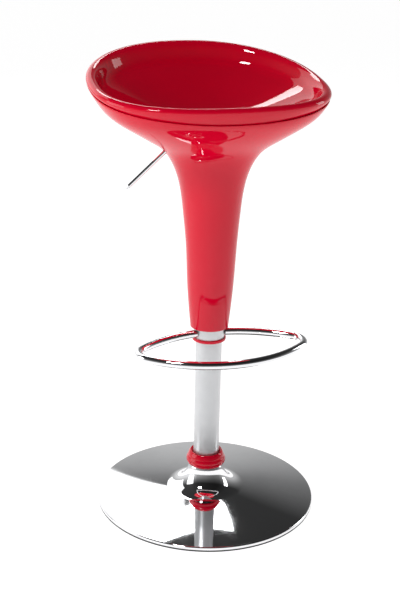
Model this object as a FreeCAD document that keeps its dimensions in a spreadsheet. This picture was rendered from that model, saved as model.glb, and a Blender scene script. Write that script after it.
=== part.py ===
import FreeCAD, Part
import math
import os

import Sketcher

# Adjustable swivel stool.  Millimetres.  Origin on the floor under the swivel axis, +Z up,
# the sitter faces -Y, and the release lever comes out on -X, at the sitter's right hand.
# The stool is modelled with the seat at its highest, so every height is that of the raised seat.

os.makedirs("parts", exist_ok=True)
doc = FreeCAD.newDocument("stool")
sheet = doc.addObject("Spreadsheet::Sheet", "Sizes")

SIZES = {
    # base
    "base_dia": (427, "overall diameter of the pressed base"),
    "base_wall": (1.5, "steel sheet of the base"),
    "base_slope": (7, "slope of the base's outer cone, degrees"),
    "rim_z": (3.5, "underside of the base's rim, on its rubber ring"),
    "rim_height": (6, "height of the turned-down rim"),
    "rim_round": (2.5, "rounding of the rim"),
    "throat_gap": (9, "skin of the trumpet's throat outside the column"),
    "throat_z": (76, "height of the throat"),
    "throat_straight": (1.5, "upright edge of the throat"),
    "floor_ring_width": (14, "width of the rubber floor ring"),
    "floor_ring_setback": (0.4, "floor ring inside the base's edge"),
    "upstand_height": (2.5, "upstand of the floor ring inside the base's rim"),
    "upstand_width": (5, "width of that upstand"),
    "base_plate_inset": (8, "base plate inside the base's edge"),
    "plate_thickness": (3, "steel plate that closes the base"),
    "ballast_inset": (73.5, "ballast disc inside the base's edge"),
    "ballast_thickness": (8, "ballast disc"),
    "access_radius": (20, "access hole under the column, for the rod's clip"),
    "flange_dia": (120, "flange welded round the column's foot"),
    "flange_thickness": (8, "column flange"),
    "bolt_circle": (90, "pitch circle of the flange bolts"),
    "bolt_radius": (4, "M8 flange bolts"),
    "bolt_head": (6.5, "hexagon bolt head, centre to flat"),
    "bolt_head_height": (2.5, "thin hexagon bolt heads"),
    # column
    "column_dia": (50, "outer diameter of the column"),
    "column_wall": (1.5, "wall of the column tube"),
    "column_engagement": (58.2, "column tube above the guide bush, at the highest seat"),
    "collar_lap": (1, "how far the base collar laps over the throat"),
    "collar_height": (27, "height of the base collar"),
    "collar_width": (11.8, "collar outside the column, where its bulge's arcs would meet"),
    "collar_foot_inset": (1.6, "collar's foot inside that radius"),
    "collar_waist_inset": (1.2, "top of the collar's lower bulge inside that radius"),
    "collar_waist_drop": (11, "top of the lower bulge below the collar's top"),
    "collar_belly": (12, "radius of the lower bulge"),
    "collar_shoulder": (24, "radius of the shoulder"),
    "collar_lip_inset": (5.6, "collar's lip inside that radius"),
    "collar_lip_drop": (1.2, "outside of the lip below the collar's top"),
    "collar_lip_width": (2, "width and rounding of the lip"),
    "collar_dish": (4.5, "dish round the tube below the collar's top"),
    "guide_length": (60, "column guide inside the tube"),
    "guide_flange": (6, "head of the column guide, which runs in the sleeve"),
    # swivel bearing and gas spring
    "end_plate_z": (36, "underside of the plate that carries the swivel bearing"),
    "end_plate_thickness": (4, "bearing plate in the column"),
    "race_radius": (15, "outer radius of the bearing races"),
    "race_thickness": (2, "bearing races"),
    "ball_radius": (2, "bearing balls"),
    "ball_circle": (10.5, "radius of the circle of balls"),
    "ball_play": (0.02, "play between the balls and each race"),
    "cage_half_width": (3, "half width of the bearing cage"),
    "cage_half_height": (0.8, "half thickness of the bearing cage"),
    "bump_inset": (2, "bump stop inside the races' edge"),
    "bump_height": (12, "rubber bump stop on the rod"),
    "rod_radius": (5, "piston rod"),
    "rod_step": (1, "depth of the clip's groove and of the piston's seat on the rod"),
    "rod_tail": (6, "rod below the bearing plate"),
    "rod_end": (2, "rod above the piston"),
    "clip_thickness": (2.5, "retaining clip"),
    "clip_radius": (9, "outer radius of the retaining clip"),
    "cylinder_radius": (14, "gas cylinder"),
    "cylinder_wall": (1.5, "wall of the gas cylinder"),
    "cylinder_reach": (95, "gas cylinder below the column guide, at the highest seat"),
    "cylinder_top_z": (724, "closed end of the gas cylinder"),
    "cylinder_end": (6, "end wall of the gas cylinder"),
    "cylinder_skirt": (2, "gas cylinder below its rod guide"),
    "taper_length": (32, "tapered end of the gas cylinder"),
    "taper_drop": (0.7, "how much the radius shrinks along the taper"),
    "taper_run_in": (4, "length over which the bore narrows below the taper"),
    "rod_guide_length": (20, "rod guide in the open end"),
    "piston_length": (12, "piston"),
    "piston_gap": (4, "piston above the rod guide at full height"),
    "seal_width": (4, "piston seal"),
    "seal_depth": (2, "depth of the piston seal's groove"),
    "valve_length": (24, "valve block at the closed end"),
    "pin_radius": (3, "valve pin"),
    "pin_tail": (4, "valve pin below its block"),
    # seat structure
    "sleeve_wall": (2, "wall of the sleeve round the column"),
    "sleeve_foot_z": (343.8, "lower end of the sleeve"),
    "bush_wall": (2.5, "guide bush between column and sleeve"),
    "bush_flange": (5.8, "visible flange of the guide bush"),
    "bush_proud": (2.8, "that flange outside the sleeve"),
    "bush_round": (1.5, "rounding of that flange"),
    "bush_length": (28, "guide bush inside the sleeve"),
    "seat_plate_thickness": (3, "seat plate"),
    "plate_recess": (1, "closed end of the gas cylinder below the seat plate's top"),
    "plate_half_width": (52, "half width of the seat plate"),
    "plate_front": (36, "seat plate in front of the axis"),
    "plate_back": (60, "seat plate behind the axis"),
    "plate_corner": (18, "corner radius of the seat plate"),
    "screw_half_width": (38, "seat screws from the centre line"),
    "screw_front": (22, "front screws in front of the axis"),
    "screw_back": (46, "rear screws behind the axis"),
    "screw_clearance": (0.2, "clearance of the screws in the seat plate"),
    "screw_radius": (2.6, "seat screws"),
    "screw_length": (11, "thread above the seat plate"),
    "screw_head": (5.5, "screw head radius"),
    "screw_head_height": (3.5, "screw head height"),
    "socket_wall": (4.5, "wall of the taper socket"),
    # footrest
    "ring_tube": (15, "footrest tube diameter"),
    "ring_wall": (1.5, "wall of the footrest tube"),
    "ring_rise": (10.2, "footrest ring's centre line above the sleeve's lower end"),
    "ring_weld": (1, "how far inside the sleeve's skin the tube's centre line ends"),
    "ring_back": (8, "rear arc's nearest point, in front of the axis"),
    "ring_front": (167, "front of the ring's centre line"),
    "ring_back_radius": (226, "radius of the rear arc"),
    "ring_front_radius": (217, "radius of the front arc"),
    "ring_corner_radius": (32, "radius of the corners"),
    # release lever
    "lever_radius": (4, "lever rod"),
    "lever_rise": (8, "lever's pivot above the seat plate"),
    "pivot_x": (35, "pivot from the swivel axis"),
    "pivot_radius": (2, "pivot pin"),
    "lever_inner": (10, "lever end beyond the swivel axis"),
    "lever_bend_x": (61.5, "where the lever turns down"),
    "lever_bend_radius": (18, "radius of that bend"),
    "lever_droop": (42.4, "angle of the lever's handle below level, degrees"),
    "lever_reach": (163, "tip of the lever from the swivel axis"),
    "lever_point": (9, "length of the pointed tip"),
    "lever_tip_radius": (0.8, "radius left at the very tip"),
    "lever_swing": (5, "travel of the lever, degrees"),
    "bracket_wall": (2.4, "wall of the lever bracket"),
    "bracket_length": (18, "lever bracket along the lever"),
    "bracket_height": (14, "lever bracket above the seat plate"),
    "bracket_floor": (2, "floor of the bracket's channel"),
    "pivot_proud": (0.8, "pivot pin outside the bracket"),
    # shells
    "shell_wall": (3, "stem shell"),
    "pan_wall": (3.5, "seat pan"),
    "band_height": (21.7, "band of sleeve left bare below the stem shell"),
    "stem_foot_gap": (0.7, "inside of the stem shell off the sleeve at its lower end"),
    "stem_mid_gap": (8.1, "inside of the stem shell off the sleeve halfway to the neck"),
    "stem_neck_gap": (12.5, "inside of the stem shell off the sleeve at the neck"),
    "neck_drop": (193, "neck, where the flare starts, below the seat plate's top"),
    "seat_half_width": (218.6, "half width of the seat"),
    "seat_front": (186, "seat in front of its own centre"),
    "seat_back": (206.5, "seat behind its own centre"),
    "seat_setback": (44.5, "seat centre behind the swivel axis"),
    "bowl_rise": (22, "floor of the bowl above the seat plate"),
    "rim_front_height": (60, "top of the rim in front above the bowl's floor"),
    "rim_side_height": (77, "top of the rim at the sides above the bowl's floor"),
    "rim_back_height": (118, "top of the rim at the back above the bowl's floor"),
    "rim_roll_width": (9.5, "half width of the rolled rim"),
    "rim_roll_height": (8, "from the top of the rim down to its widest line"),
    "seam_drop": (14, "seam below the top of the rim at the sides and the back"),
    "seam_dip": (16, "how much deeper the seam lies in front"),
    "seam_gap": (0.5, "open seam between seat pan and stem shell"),
    "boss_radius": (7, "screw bosses under the seat pan"),
    # clearances
    "running": (0.05, "radial clearance of a running fit"),
    "slide_gap": (0.1, "radial clearance of the column guide in the sleeve"),
    "slot_gap": (1, "clearance round the lever in its slot"),
    "loose": (0.5, "clearance of the lever in its bracket"),
    "rod_hole_gap": (1, "clearance round the rod in the bearing plate"),
    "stop_gap": (0.3, "lever above the valve pin, and clip under its plate"),
    "laid_gap": (0.1, "clearance between pieces that are only laid together"),
    "overrun": (1, "how far a cutter runs past what it cuts"),
}

for row, (alias, (number, note)) in enumerate(SIZES.items(), start=1):
    sheet.set("A%d" % row, alias)
    sheet.set("B%d" % row, str(number))
    sheet.set("C%d" % row, note)
    sheet.setAlias("B%d" % row, alias)
doc.recompute()


class Size:
    """A length or angle that knows both its number and its expression on the sheet."""

    def __init__(self, value, text=None):
        self.value = float(value)
        self.text = text if text else repr(float(value))

    @staticmethod
    def of(other):
        return other if isinstance(other, Size) else Size(other)

    def join(self, sign, other, value):
        return Size(value, "(%s %s %s)" % (self.text, sign, other.text))

    def __add__(self, other):
        other = Size.of(other)
        return self.join("+", other, self.value + other.value)

    def __sub__(self, other):
        other = Size.of(other)
        return self.join("-", other, self.value - other.value)

    def __mul__(self, other):
        other = Size.of(other)
        return self.join("*", other, self.value * other.value)

    def __truediv__(self, other):
        other = Size.of(other)
        return self.join("/", other, self.value / other.value)

    def __radd__(self, other):
        return Size.of(other) + self

    def __rsub__(self, other):
        return Size.of(other) - self

    def __rmul__(self, other):
        return Size.of(other) * self

    def __rtruediv__(self, other):
        return Size.of(other) / self

    def __neg__(self):
        return Size(0.0) - self


def sine(angle):
    return Size(math.sin(math.radians(angle.value)), "sin(%s)" % angle.text)


def cosine(angle):
    return Size(math.cos(math.radians(angle.value)), "cos(%s)" % angle.text)


def root(area):
    return Size(math.sqrt(area.value), "sqrt(%s)" % area.text)


def size(alias):
    return Size(sheet.get(alias), "Sizes." + alias)


# ---------------------------------------------------------------- sizes that follow from others
column_radius = size("column_dia") / 2
column_bore = column_radius - size("column_wall")
sleeve_bore = column_radius + size("bush_wall")
sleeve_radius = sleeve_bore + size("sleeve_wall")
bush_radius = sleeve_radius + size("bush_proud")
throat_radius = column_radius + size("throat_gap")
collar_radius = column_radius + size("collar_width")
collar_z = size("throat_z") - size("collar_lap")
base_radius = size("base_dia") / 2
plate_z = size("rim_z")
ballast_z = plate_z + size("plate_thickness")
flange_z = ballast_z + size("ballast_thickness")
flange_top_z = flange_z + size("flange_thickness")

bearing_z = size("end_plate_z") + size("end_plate_thickness")
ball_z = bearing_z + size("race_thickness") + size("ball_radius") + size("ball_play")
upper_race_z = ball_z + size("ball_radius") + size("ball_play")
bump_z = upper_race_z + size("race_thickness")
rod_foot_z = size("end_plate_z") - size("rod_tail")

ring_z = size("sleeve_foot_z") + size("ring_rise")
shell_foot_z = size("sleeve_foot_z") + size("band_height")
column_top_z = size("sleeve_foot_z") + size("bush_length") + size("column_engagement")
cylinder_foot_z = column_top_z - size("guide_length") - size("cylinder_reach")
cylinder_bore = size("cylinder_radius") - size("cylinder_wall")
rod_guide_z = cylinder_foot_z + size("cylinder_skirt")
piston_z = rod_guide_z + size("rod_guide_length") + size("piston_gap")
bore_top_z = size("cylinder_top_z") - size("cylinder_end")
taper_z = size("cylinder_top_z") - size("taper_length")
taper_top = size("cylinder_radius") - size("taper_drop")
socket_radius = size("cylinder_radius") + size("socket_wall")

seat_plate_top = size("cylinder_top_z") + size("plate_recess")
seat_plate_z = seat_plate_top - size("seat_plate_thickness")
lever_z = seat_plate_top + size("lever_rise")
pin_top_z = lever_z - size("lever_radius") - size("stop_gap")
neck_z = seat_plate_top - size("neck_drop")
neck_radius = sleeve_radius + size("stem_neck_gap") + size("shell_wall")
bowl_floor_z = seat_plate_top + size("bowl_rise")

BOLTS = 4
BALLS = 12

PARTS = []


def keep(part, label):
    part.Label = label
    PARTS.append(part)
    return part


def bind(thing, **sizes):
    """Bind properties to the sheet; a double underscore stands for a dot."""
    for name, value in sizes.items():
        value = Size.of(value)
        thing.setExpression(name.replace("__", "."), value.text)
    return thing


def place(thing, x=0, y=0, z=0):
    return bind(thing, Placement__Base__x=x, Placement__Base__y=y, Placement__Base__z=z)


# ---------------------------------------------------------------- sketches
def new_body(label):
    return doc.addObject("PartDesign::Body", label + "_body")


def sketch_on(body, role, name, offset=0):
    sketch = body.newObject("Sketcher::SketchObject", name)
    plane = [item for item in body.Origin.OriginFeatures if item.Role == role][0]
    sketch.AttachmentSupport = [(plane, "")]
    sketch.MapMode = "FlatFace"
    bind(sketch, AttachmentOffset__Base__z=offset)
    return sketch


def fix(sketch, kind, geometry, corner, value):
    """Hold a point's X or Y, or a radius, at a size from the sheet."""
    value = Size.of(value)
    if kind == "Radius":
        value = value if value.value > 0 else -value
        index = sketch.addConstraint(Sketcher.Constraint("Radius", geometry, value.value))
    elif abs(value.value) < 1e-9:
        axis = -2 if kind == "DistanceX" else -1
        sketch.addConstraint(Sketcher.Constraint("PointOnObject", geometry, corner, axis))
        return
    else:
        rule = Sketcher.Constraint(kind, -1, 1, geometry, corner, value.value)
        index = sketch.addConstraint(rule)
    sketch.setExpression("Constraints[%d]" % index, value.text)


def outline(sketch, points):
    """A closed outline. Each point is (x, y), or (x, y, radius) where an arc leads to it.

    A positive radius bulges to the right of the way the outline runs.
    """
    count = len(points)
    for index in range(count):
        start = points[index - 1]
        end = points[index]
        first = FreeCAD.Vector(Size.of(start[0]).value, Size.of(start[1]).value, 0)
        last = FreeCAD.Vector(Size.of(end[0]).value, Size.of(end[1]).value, 0)
        if len(end) == 2:
            sketch.addGeometry(Part.LineSegment(first, last), False)
            continue
        radius = Size.of(end[2]).value
        chord = last - first
        half = chord.Length / 2
        side = FreeCAD.Vector(chord.y, -chord.x, 0).normalize()
        sagitta = abs(radius) - math.sqrt(radius * radius - half * half)
        middle = (first + last) / 2 + side * math.copysign(sagitta, radius)
        sketch.addGeometry(Part.ArcOfCircle(first, middle, last), False)
    for index in range(count):
        end = points[index]
        following = (index + 1) % count
        point = FreeCAD.Vector(Size.of(end[0]).value, Size.of(end[1]).value, 0)
        here = 2 if sketch.getPoint(index, 2).distanceToPoint(point) < 1e-6 else 1
        there = 1 if sketch.getPoint(following, 1).distanceToPoint(point) < 1e-6 else 2
        sketch.addConstraint(Sketcher.Constraint("Coincident", index, here, following, there))
        fix(sketch, "DistanceX", index, here, end[0])
        fix(sketch, "DistanceY", index, here, end[1])
        if len(end) == 3:
            fix(sketch, "Radius", index, 0, end[2])


def circle(sketch, x, y, radius):
    x, y, radius = Size.of(x), Size.of(y), Size.of(radius)
    centre = FreeCAD.Vector(x.value, y.value, 0)
    index = sketch.addGeometry(Part.Circle(centre, FreeCAD.Vector(0, 0, 1), radius.value), False)
    fix(sketch, "DistanceX", index, 3, x)
    fix(sketch, "DistanceY", index, 3, y)
    fix(sketch, "Radius", index, 0, radius)


def turned(label, points, rounds=()):
    """A piece turned about the swivel axis from an outline of (radius, height) points.

    rounds lists (radius, height, fillet) for edges that are rounded.
    """
    body = new_body(label)
    profile = sketch_on(body, "XZ_Plane", label + "_profile")
    outline(profile, points)
    turn = body.newObject("PartDesign::Revolution", label + "_turn")
    turn.Profile = profile
    turn.ReferenceAxis = (profile, ["V_Axis"])
    turn.Angle = 360
    doc.recompute()
    for number, (radius, height, fillet) in enumerate(rounds):
        base = body.Tip
        edges = ["Edge%d" % (index + 1) for index, edge in enumerate(base.Shape.Edges)
                 if is_hoop(edge, radius.value, height.value)]
        soft = body.newObject("PartDesign::Fillet", "%s_round%d" % (label, number))
        soft.Base = (base, edges)
        bind(soft, Radius=fillet)
        body.Tip = soft
        doc.recompute()
    return body


def is_hoop(edge, radius, height):
    box = edge.BoundBox
    flat = box.ZLength < 1e-3
    return flat and abs(box.ZMin - height) < 1e-3 and abs(box.XMax - radius) < 1e-2


def ring(label, inner, outer, low, high):
    return turned(label, [(inner, low), (outer, low), (outer, high), (inner, high)])


# ---------------------------------------------------------------- base
def base_shell():
    """Pressed sheet: a low cone, turned up by a wide radius to a throat round the column."""
    wall = size("base_wall")
    slope = size("base_slope")
    lean = sine(slope) / cosine(slope)
    top_z = size("rim_z") + size("rim_height")
    # the bend is as large as fits between the cone and the throat's upright edge
    centre_z = size("throat_z") - size("throat_straight")
    cone_rise = (base_radius - throat_radius) * lean
    bend = (centre_z - top_z - cone_rise) / (1 / cosine(slope) - lean)
    centre_x = throat_radius + bend
    foot_x = centre_x - bend * sine(slope)
    foot_z = centre_z - bend * cosine(slope)
    inner_bend = bend + wall
    inner_foot_x = centre_x - inner_bend * sine(slope)
    inner_foot_z = centre_z - inner_bend * cosine(slope)
    inner_top_x = centre_x - inner_bend
    inner_rim = base_radius - wall
    inner_rim_z = centre_z - inner_bend / cosine(slope) - (inner_rim - centre_x) * lean
    points = [
        (base_radius, size("rim_z")),
        (base_radius, top_z),
        (foot_x, foot_z),
        (throat_radius, centre_z, -bend),
        (throat_radius, size("throat_z")),
        (inner_top_x, size("throat_z")),
        (inner_top_x, centre_z),
        (inner_foot_x, inner_foot_z, inner_bend),
        (inner_rim, inner_rim_z),
        (inner_rim, size("rim_z")),
    ]
    rounds = [(base_radius, top_z, size("rim_round"))]
    return keep(turned("base_shell", points, rounds), "base_shell")


def floor_ring():
    """Rubber ring that carries the rim: an upstand inside it and a foot under it."""
    outer = base_radius - size("floor_ring_setback")
    inner = base_radius - size("floor_ring_width")
    inside = base_radius - size("base_wall") - size("laid_gap")
    ledge = inside - size("upstand_width")
    top = size("rim_z") + size("upstand_height")
    points = [
        (inner, 0),
        (outer, 0),
        (outer, size("rim_z")),
        (inside, size("rim_z")),
        (inside, top),
        (ledge, top),
        (ledge, size("rim_z")),
        (inner, size("rim_z")),
    ]
    return keep(turned("floor_ring", points), "floor_ring")


def drilled_disc(label, hole, radius, low, thickness):
    """A flat disc with a centre hole and the flange bolts' holes."""
    body = ring(label, hole, radius, low, low + thickness)
    holes = sketch_on(body, "XY_Plane", label + "_holes", low)
    for step in range(BOLTS):
        angle = Size(360.0 * step / BOLTS + 45)
        reach = size("bolt_circle") / 2
        circle(holes, reach * cosine(angle), reach * sine(angle), size("bolt_radius"))
    solid = body.Tip.Shape.Volume
    drill = body.newObject("PartDesign::Pocket", label + "_drill")
    drill.Profile = holes
    drill.Reversed = True
    bind(drill, Length=thickness)
    body.Tip = drill
    doc.recompute()
    if not body.Shape.Volume < solid:
        raise RuntimeError(label + ": the bolt holes cut nothing")
    return keep(body, label)


def flange_bolts():
    """Thin-headed hexagon bolts, from below through plate and ballast into the flange."""
    bolts = []
    for step in range(BOLTS):
        angle = Size(360.0 * step / BOLTS + 45)
        x = size("bolt_circle") / 2 * cosine(angle)
        y = size("bolt_circle") / 2 * sine(angle)
        head = doc.addObject("Part::Prism", "bolt_head%d" % step)
        head.Polygon = 6
        bind(head, Circumradius=size("bolt_head") / cosine(Size(30)), Height=size("bolt_head_height"))
        place(head, x, y, plate_z - size("bolt_head_height"))
        shank = doc.addObject("Part::Cylinder", "bolt_shank%d" % step)
        bind(shank, Radius=size("bolt_radius"), Height=flange_top_z - plate_z)
        place(shank, x, y, plate_z)
        bolt = doc.addObject("Part::Fuse", "bolt%d" % step)
        bolt.Base = head
        bolt.Tool = shank
        bolts.append(bolt)
    group = doc.addObject("Part::Compound", "bolts")
    group.Links = bolts
    return keep(group, "flange_bolts")


def base_collar():
    """Bulging plastic collar over the joint of column and base, dished where the tube enters."""
    inner = column_radius + size("running")
    low = size("throat_z") + size("laid_gap")
    top = collar_z + size("collar_height")
    wide = collar_radius
    throat = throat_radius + size("laid_gap")
    lip = wide - size("collar_lip_inset")
    lip_width = size("collar_lip_width")
    points = [
        (inner, low),
        (throat, low),
        (throat, collar_z),
        (wide - size("collar_foot_inset"), collar_z),
        (wide - size("collar_waist_inset"), top - size("collar_waist_drop"), size("collar_belly")),
        (lip, top - size("collar_lip_drop"), size("collar_shoulder")),
        (lip - lip_width, top - size("collar_lip_drop") / 2, lip_width),
        (inner, top - size("collar_dish")),
    ]
    return keep(turned("base_collar", points), "base_collar")


# ---------------------------------------------------------------- column, bearing, gas spring
def column_guide():
    """Plastic guide in the column's mouth; its head runs inside the sleeve."""
    bore = size("cylinder_radius") + size("running")
    top = column_top_z
    head = sleeve_bore - size("slide_gap")
    points = [
        (bore, top - size("guide_length")),
        (column_bore, top - size("guide_length")),
        (column_bore, top),
        (head, top),
        (head, top + size("guide_flange")),
        (bore, top + size("guide_flange")),
    ]
    return keep(turned("column_guide", points), "column_guide")


def circle_of_balls(name, radius):
    """Balls of the swivel bearing, evenly spaced on their circle."""
    balls = []
    for step in range(BALLS):
        angle = Size(360.0 * step / BALLS)
        ball = doc.addObject("Part::Sphere", "%s%d" % (name, step))
        bind(ball, Radius=radius)
        reach = size("ball_circle")
        place(ball, reach * cosine(angle), reach * sine(angle), ball_z)
        balls.append(ball)
    group = doc.addObject("Part::Compound", name + "s")
    group.Links = balls
    return group


def bearing_cage():
    half_width = size("cage_half_width")
    half_height = size("cage_half_height")
    blank = ring("cage_blank", size("ball_circle") - half_width, size("ball_circle") + half_width,
                 ball_z - half_height, ball_z + half_height)
    cage = doc.addObject("Part::Cut", "cage")
    cage.Base = blank
    cage.Tool = circle_of_balls("pocket", size("ball_radius") + size("laid_gap"))
    return keep(cage, "bearing_cage")


def piston_rod():
    """Ground rod with a groove for its clip, and a thinner end for the piston."""
    groove_top = size("end_plate_z") - size("stop_gap")
    groove_low = groove_top - size("clip_thickness")
    neck = size("rod_radius") - size("rod_step")
    end = piston_z + size("piston_length") + size("rod_end")
    points = [
        (0, rod_foot_z),
        (size("rod_radius"), rod_foot_z),
        (size("rod_radius"), groove_low),
        (neck, groove_low),
        (neck, groove_top),
        (size("rod_radius"), groove_top),
        (size("rod_radius"), piston_z),
        (neck, piston_z),
        (neck, end),
        (0, end),
    ]
    return keep(turned("piston_rod", points), "piston_rod")


def piston():
    bore = size("rod_radius") - size("rod_step")
    outside = cylinder_bore - size("running")
    groove = outside - size("seal_depth")
    low = piston_z + (size("piston_length") - size("seal_width")) / 2
    high = low + size("seal_width")
    points = [
        (bore, piston_z),
        (outside, piston_z),
        (outside, low),
        (groove, low),
        (groove, high),
        (outside, high),
        (outside, piston_z + size("piston_length")),
        (bore, piston_z + size("piston_length")),
    ]
    keep(turned("piston", points), "piston")
    keep(ring("piston_seal", groove, cylinder_bore - size("ball_play"), low, high), "piston_seal")


def gas_cylinder():
    """Seamless tube, closed above, with a taper that wedges in the seat plate's socket."""
    outside = size("cylinder_radius")
    pin_hole = size("pin_radius") + size("running")
    points = [
        (cylinder_bore, cylinder_foot_z),
        (outside, cylinder_foot_z),
        (outside, taper_z),
        (taper_top, size("cylinder_top_z")),
        (pin_hole, size("cylinder_top_z")),
        (pin_hole, bore_top_z),
        (cylinder_bore - size("taper_drop"), bore_top_z),
        (cylinder_bore - size("taper_drop"), taper_z),
        (cylinder_bore, taper_z - size("taper_run_in")),
    ]
    keep(turned("gas_cylinder", points), "gas_cylinder")
    keep(ring("rod_guide", size("rod_radius") + size("running"), cylinder_bore,
              rod_guide_z, rod_guide_z + size("rod_guide_length")), "rod_guide")
    block_z = bore_top_z - size("valve_length")
    keep(ring("valve_block", pin_hole, cylinder_bore - size("taper_drop"), block_z, bore_top_z),
         "valve_block")
    keep(ring("valve_pin", 0, size("pin_radius"), block_z - size("pin_tail"), pin_top_z),
         "valve_pin")


# ---------------------------------------------------------------- seat structure
def taper_socket():
    points = [
        (size("cylinder_radius"), taper_z),
        (socket_radius, taper_z),
        (socket_radius, seat_plate_top),
        (taper_top, seat_plate_top),
        (taper_top, size("cylinder_top_z")),
    ]
    return keep(turned("taper_socket", points), "taper_socket")


def seat_plate():
    """Steel plate under the pan: socket hole in the middle, a screw hole near each corner."""
    body = new_body("seat_plate")
    edge = sketch_on(body, "XY_Plane", "seat_plate_edge", seat_plate_z)
    wide = size("plate_half_width")
    outline(edge, [(-wide, -size("plate_front")), (wide, -size("plate_front")),
                   (wide, size("plate_back")), (-wide, size("plate_back"))])
    pad = body.newObject("PartDesign::Pad", "seat_plate_pad")
    pad.Profile = edge
    bind(pad, Length=size("seat_plate_thickness"))
    doc.recompute()
    upright = ["Edge%d" % (index + 1) for index, line in enumerate(pad.Shape.Edges)
               if line.BoundBox.ZLength > 1]
    corners = body.newObject("PartDesign::Fillet", "seat_plate_corners")
    corners.Base = (pad, upright)
    bind(corners, Radius=size("plate_corner"))
    body.Tip = corners
    doc.recompute()
    holes = sketch_on(body, "XY_Plane", "seat_plate_holes", seat_plate_z)
    circle(holes, 0, 0, socket_radius)
    for x, y in screw_places():
        circle(holes, x, y, size("screw_radius") + size("screw_clearance"))
    solid = body.Shape.Volume
    drill = body.newObject("PartDesign::Pocket", "seat_plate_drill")
    drill.Profile = holes
    drill.Reversed = True
    bind(drill, Length=size("seat_plate_thickness"))
    body.Tip = drill
    doc.recompute()
    if not body.Shape.Volume < solid:
        raise RuntimeError("seat_plate: the holes cut nothing")
    return keep(body, "seat_plate")


def screw_places():
    for y in (-size("screw_front"), size("screw_back")):
        for x in (-size("screw_half_width"), size("screw_half_width")):
            yield x, y


def seat_screws():
    screws = []
    for step, (x, y) in enumerate(screw_places()):
        head = doc.addObject("Part::Cylinder", "screw_head%d" % step)
        bind(head, Radius=size("screw_head"), Height=size("screw_head_height"))
        place(head, x, y, seat_plate_z - size("screw_head_height"))
        shank = doc.addObject("Part::Cylinder", "screw_shank%d" % step)
        bind(shank, Radius=size("screw_radius"),
             Height=size("seat_plate_thickness") + size("screw_length"))
        place(shank, x, y, seat_plate_z)
        screw = doc.addObject("Part::Fuse", "screw%d" % step)
        screw.Base = head
        screw.Tool = shank
        screws.append(screw)
    group = doc.addObject("Part::Compound", "screws")
    group.Links = screws
    return keep(group, "seat_screws")


def guide_bush():
    """Trim ring and slide bush in one: a flange under the sleeve, a bush inside it."""
    bore = column_radius + size("running")
    high = size("sleeve_foot_z")
    low = high - size("bush_flange")
    wide = bush_radius
    soft = size("bush_round")
    points = [
        (bore, low),
        (wide - soft, low),
        (wide, low + soft, soft),
        (wide, high - soft),
        (wide - soft, high, soft),
        (sleeve_bore, high),
        (sleeve_bore, high + size("bush_length")),
        (bore, high + size("bush_length")),
    ]
    return keep(turned("guide_bush", points), "guide_bush")


def footrest_ring():
    """Bent tube: two long arcs joined by tight corners, both ends welded to the sleeve."""
    path = doc.addObject("Sketcher::SketchObject", "footrest_path")
    path.MapMode = "Deactivated"
    place(path, 0, 0, ring_z)
    back, front = size("ring_back_radius"), size("ring_front_radius")
    corner = size("ring_corner_radius")
    back_y = -(size("ring_back") + back)
    front_y = front - size("ring_front")
    corner_y = corner_height(back, front, corner, back_y, front_y)
    corner_x = root((front - corner) * (front - corner) - (corner_y - front_y) * (corner_y - front_y))
    end_x = sleeve_radius - size("ring_weld")
    end_y = back_y + root(back * back - end_x * end_x)
    arcs = []
    for side in (1, -1):
        x = corner_x * side
        back_meet = meeting(Size(0), back_y, x, corner_y, back)
        front_meet = meeting(Size(0), front_y, x, corner_y, front)
        arcs.append((Size(0), back_y, back, (end_x * side, end_y), back_meet))
        arcs.append((x, corner_y, corner, back_meet, front_meet))
        if side == 1:
            far = meeting(Size(0), front_y, -corner_x, corner_y, front)
            arcs.append((Size(0), front_y, front, front_meet, far))
    for index, (cx, cy, radius, start, end) in enumerate(arcs):
        add_arc(path, index, cx, cy, radius, start, end)
    doc.recompute()
    tubes = []
    for name, radius in (("outside", size("ring_tube") / 2),
                         ("inside", size("ring_tube") / 2 - size("ring_wall"))):
        section = doc.addObject("Part::Circle", "ring_" + name)
        bind(section, Radius=radius)
        tilt = math.degrees(math.atan2((end_y - back_y).value, end_x.value))
        spin = FreeCAD.Rotation(FreeCAD.Vector(0, 0, 1), tilt)
        section.Placement.Rotation = spin.multiply(FreeCAD.Rotation(FreeCAD.Vector(1, 0, 0), 90))
        place(section, end_x, end_y, ring_z)
        sweep = doc.addObject("Part::Sweep", "ring_sweep_" + name)
        sweep.Sections = [section]
        sweep.Spine = (path, [])
        sweep.Solid = True
        sweep.Frenet = True
        tubes.append(sweep)
    hollow = doc.addObject("Part::Cut", "ring_hollow")
    hollow.Base, hollow.Tool = tubes
    sleeve = doc.addObject("Part::Cylinder", "ring_coping")
    bind(sleeve, Radius=sleeve_radius, Height=size("ring_tube") * 2)
    place(sleeve, 0, 0, ring_z - size("ring_tube"))
    coped = doc.addObject("Part::Cut", "ring_coped")
    coped.Base = hollow
    coped.Tool = sleeve
    return keep(coped, "footrest_ring")


def corner_height(back, front, corner, back_y, front_y):
    """Y of a corner's centre, at (back - corner) and (front - corner) from the arcs' centres."""
    gap = (back - corner) * (back - corner) - (front - corner) * (front - corner)
    return (gap - back_y * back_y + front_y * front_y) / (2 * (front_y - back_y))


def meeting(cx, cy, x, y, radius):
    """Where an arc about (cx, cy) touches the corner arc about (x, y) inside it."""
    dx, dy = x - cx, y - cy
    reach = root(dx * dx + dy * dy)
    return cx + dx * radius / reach, cy + dy * radius / reach


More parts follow.
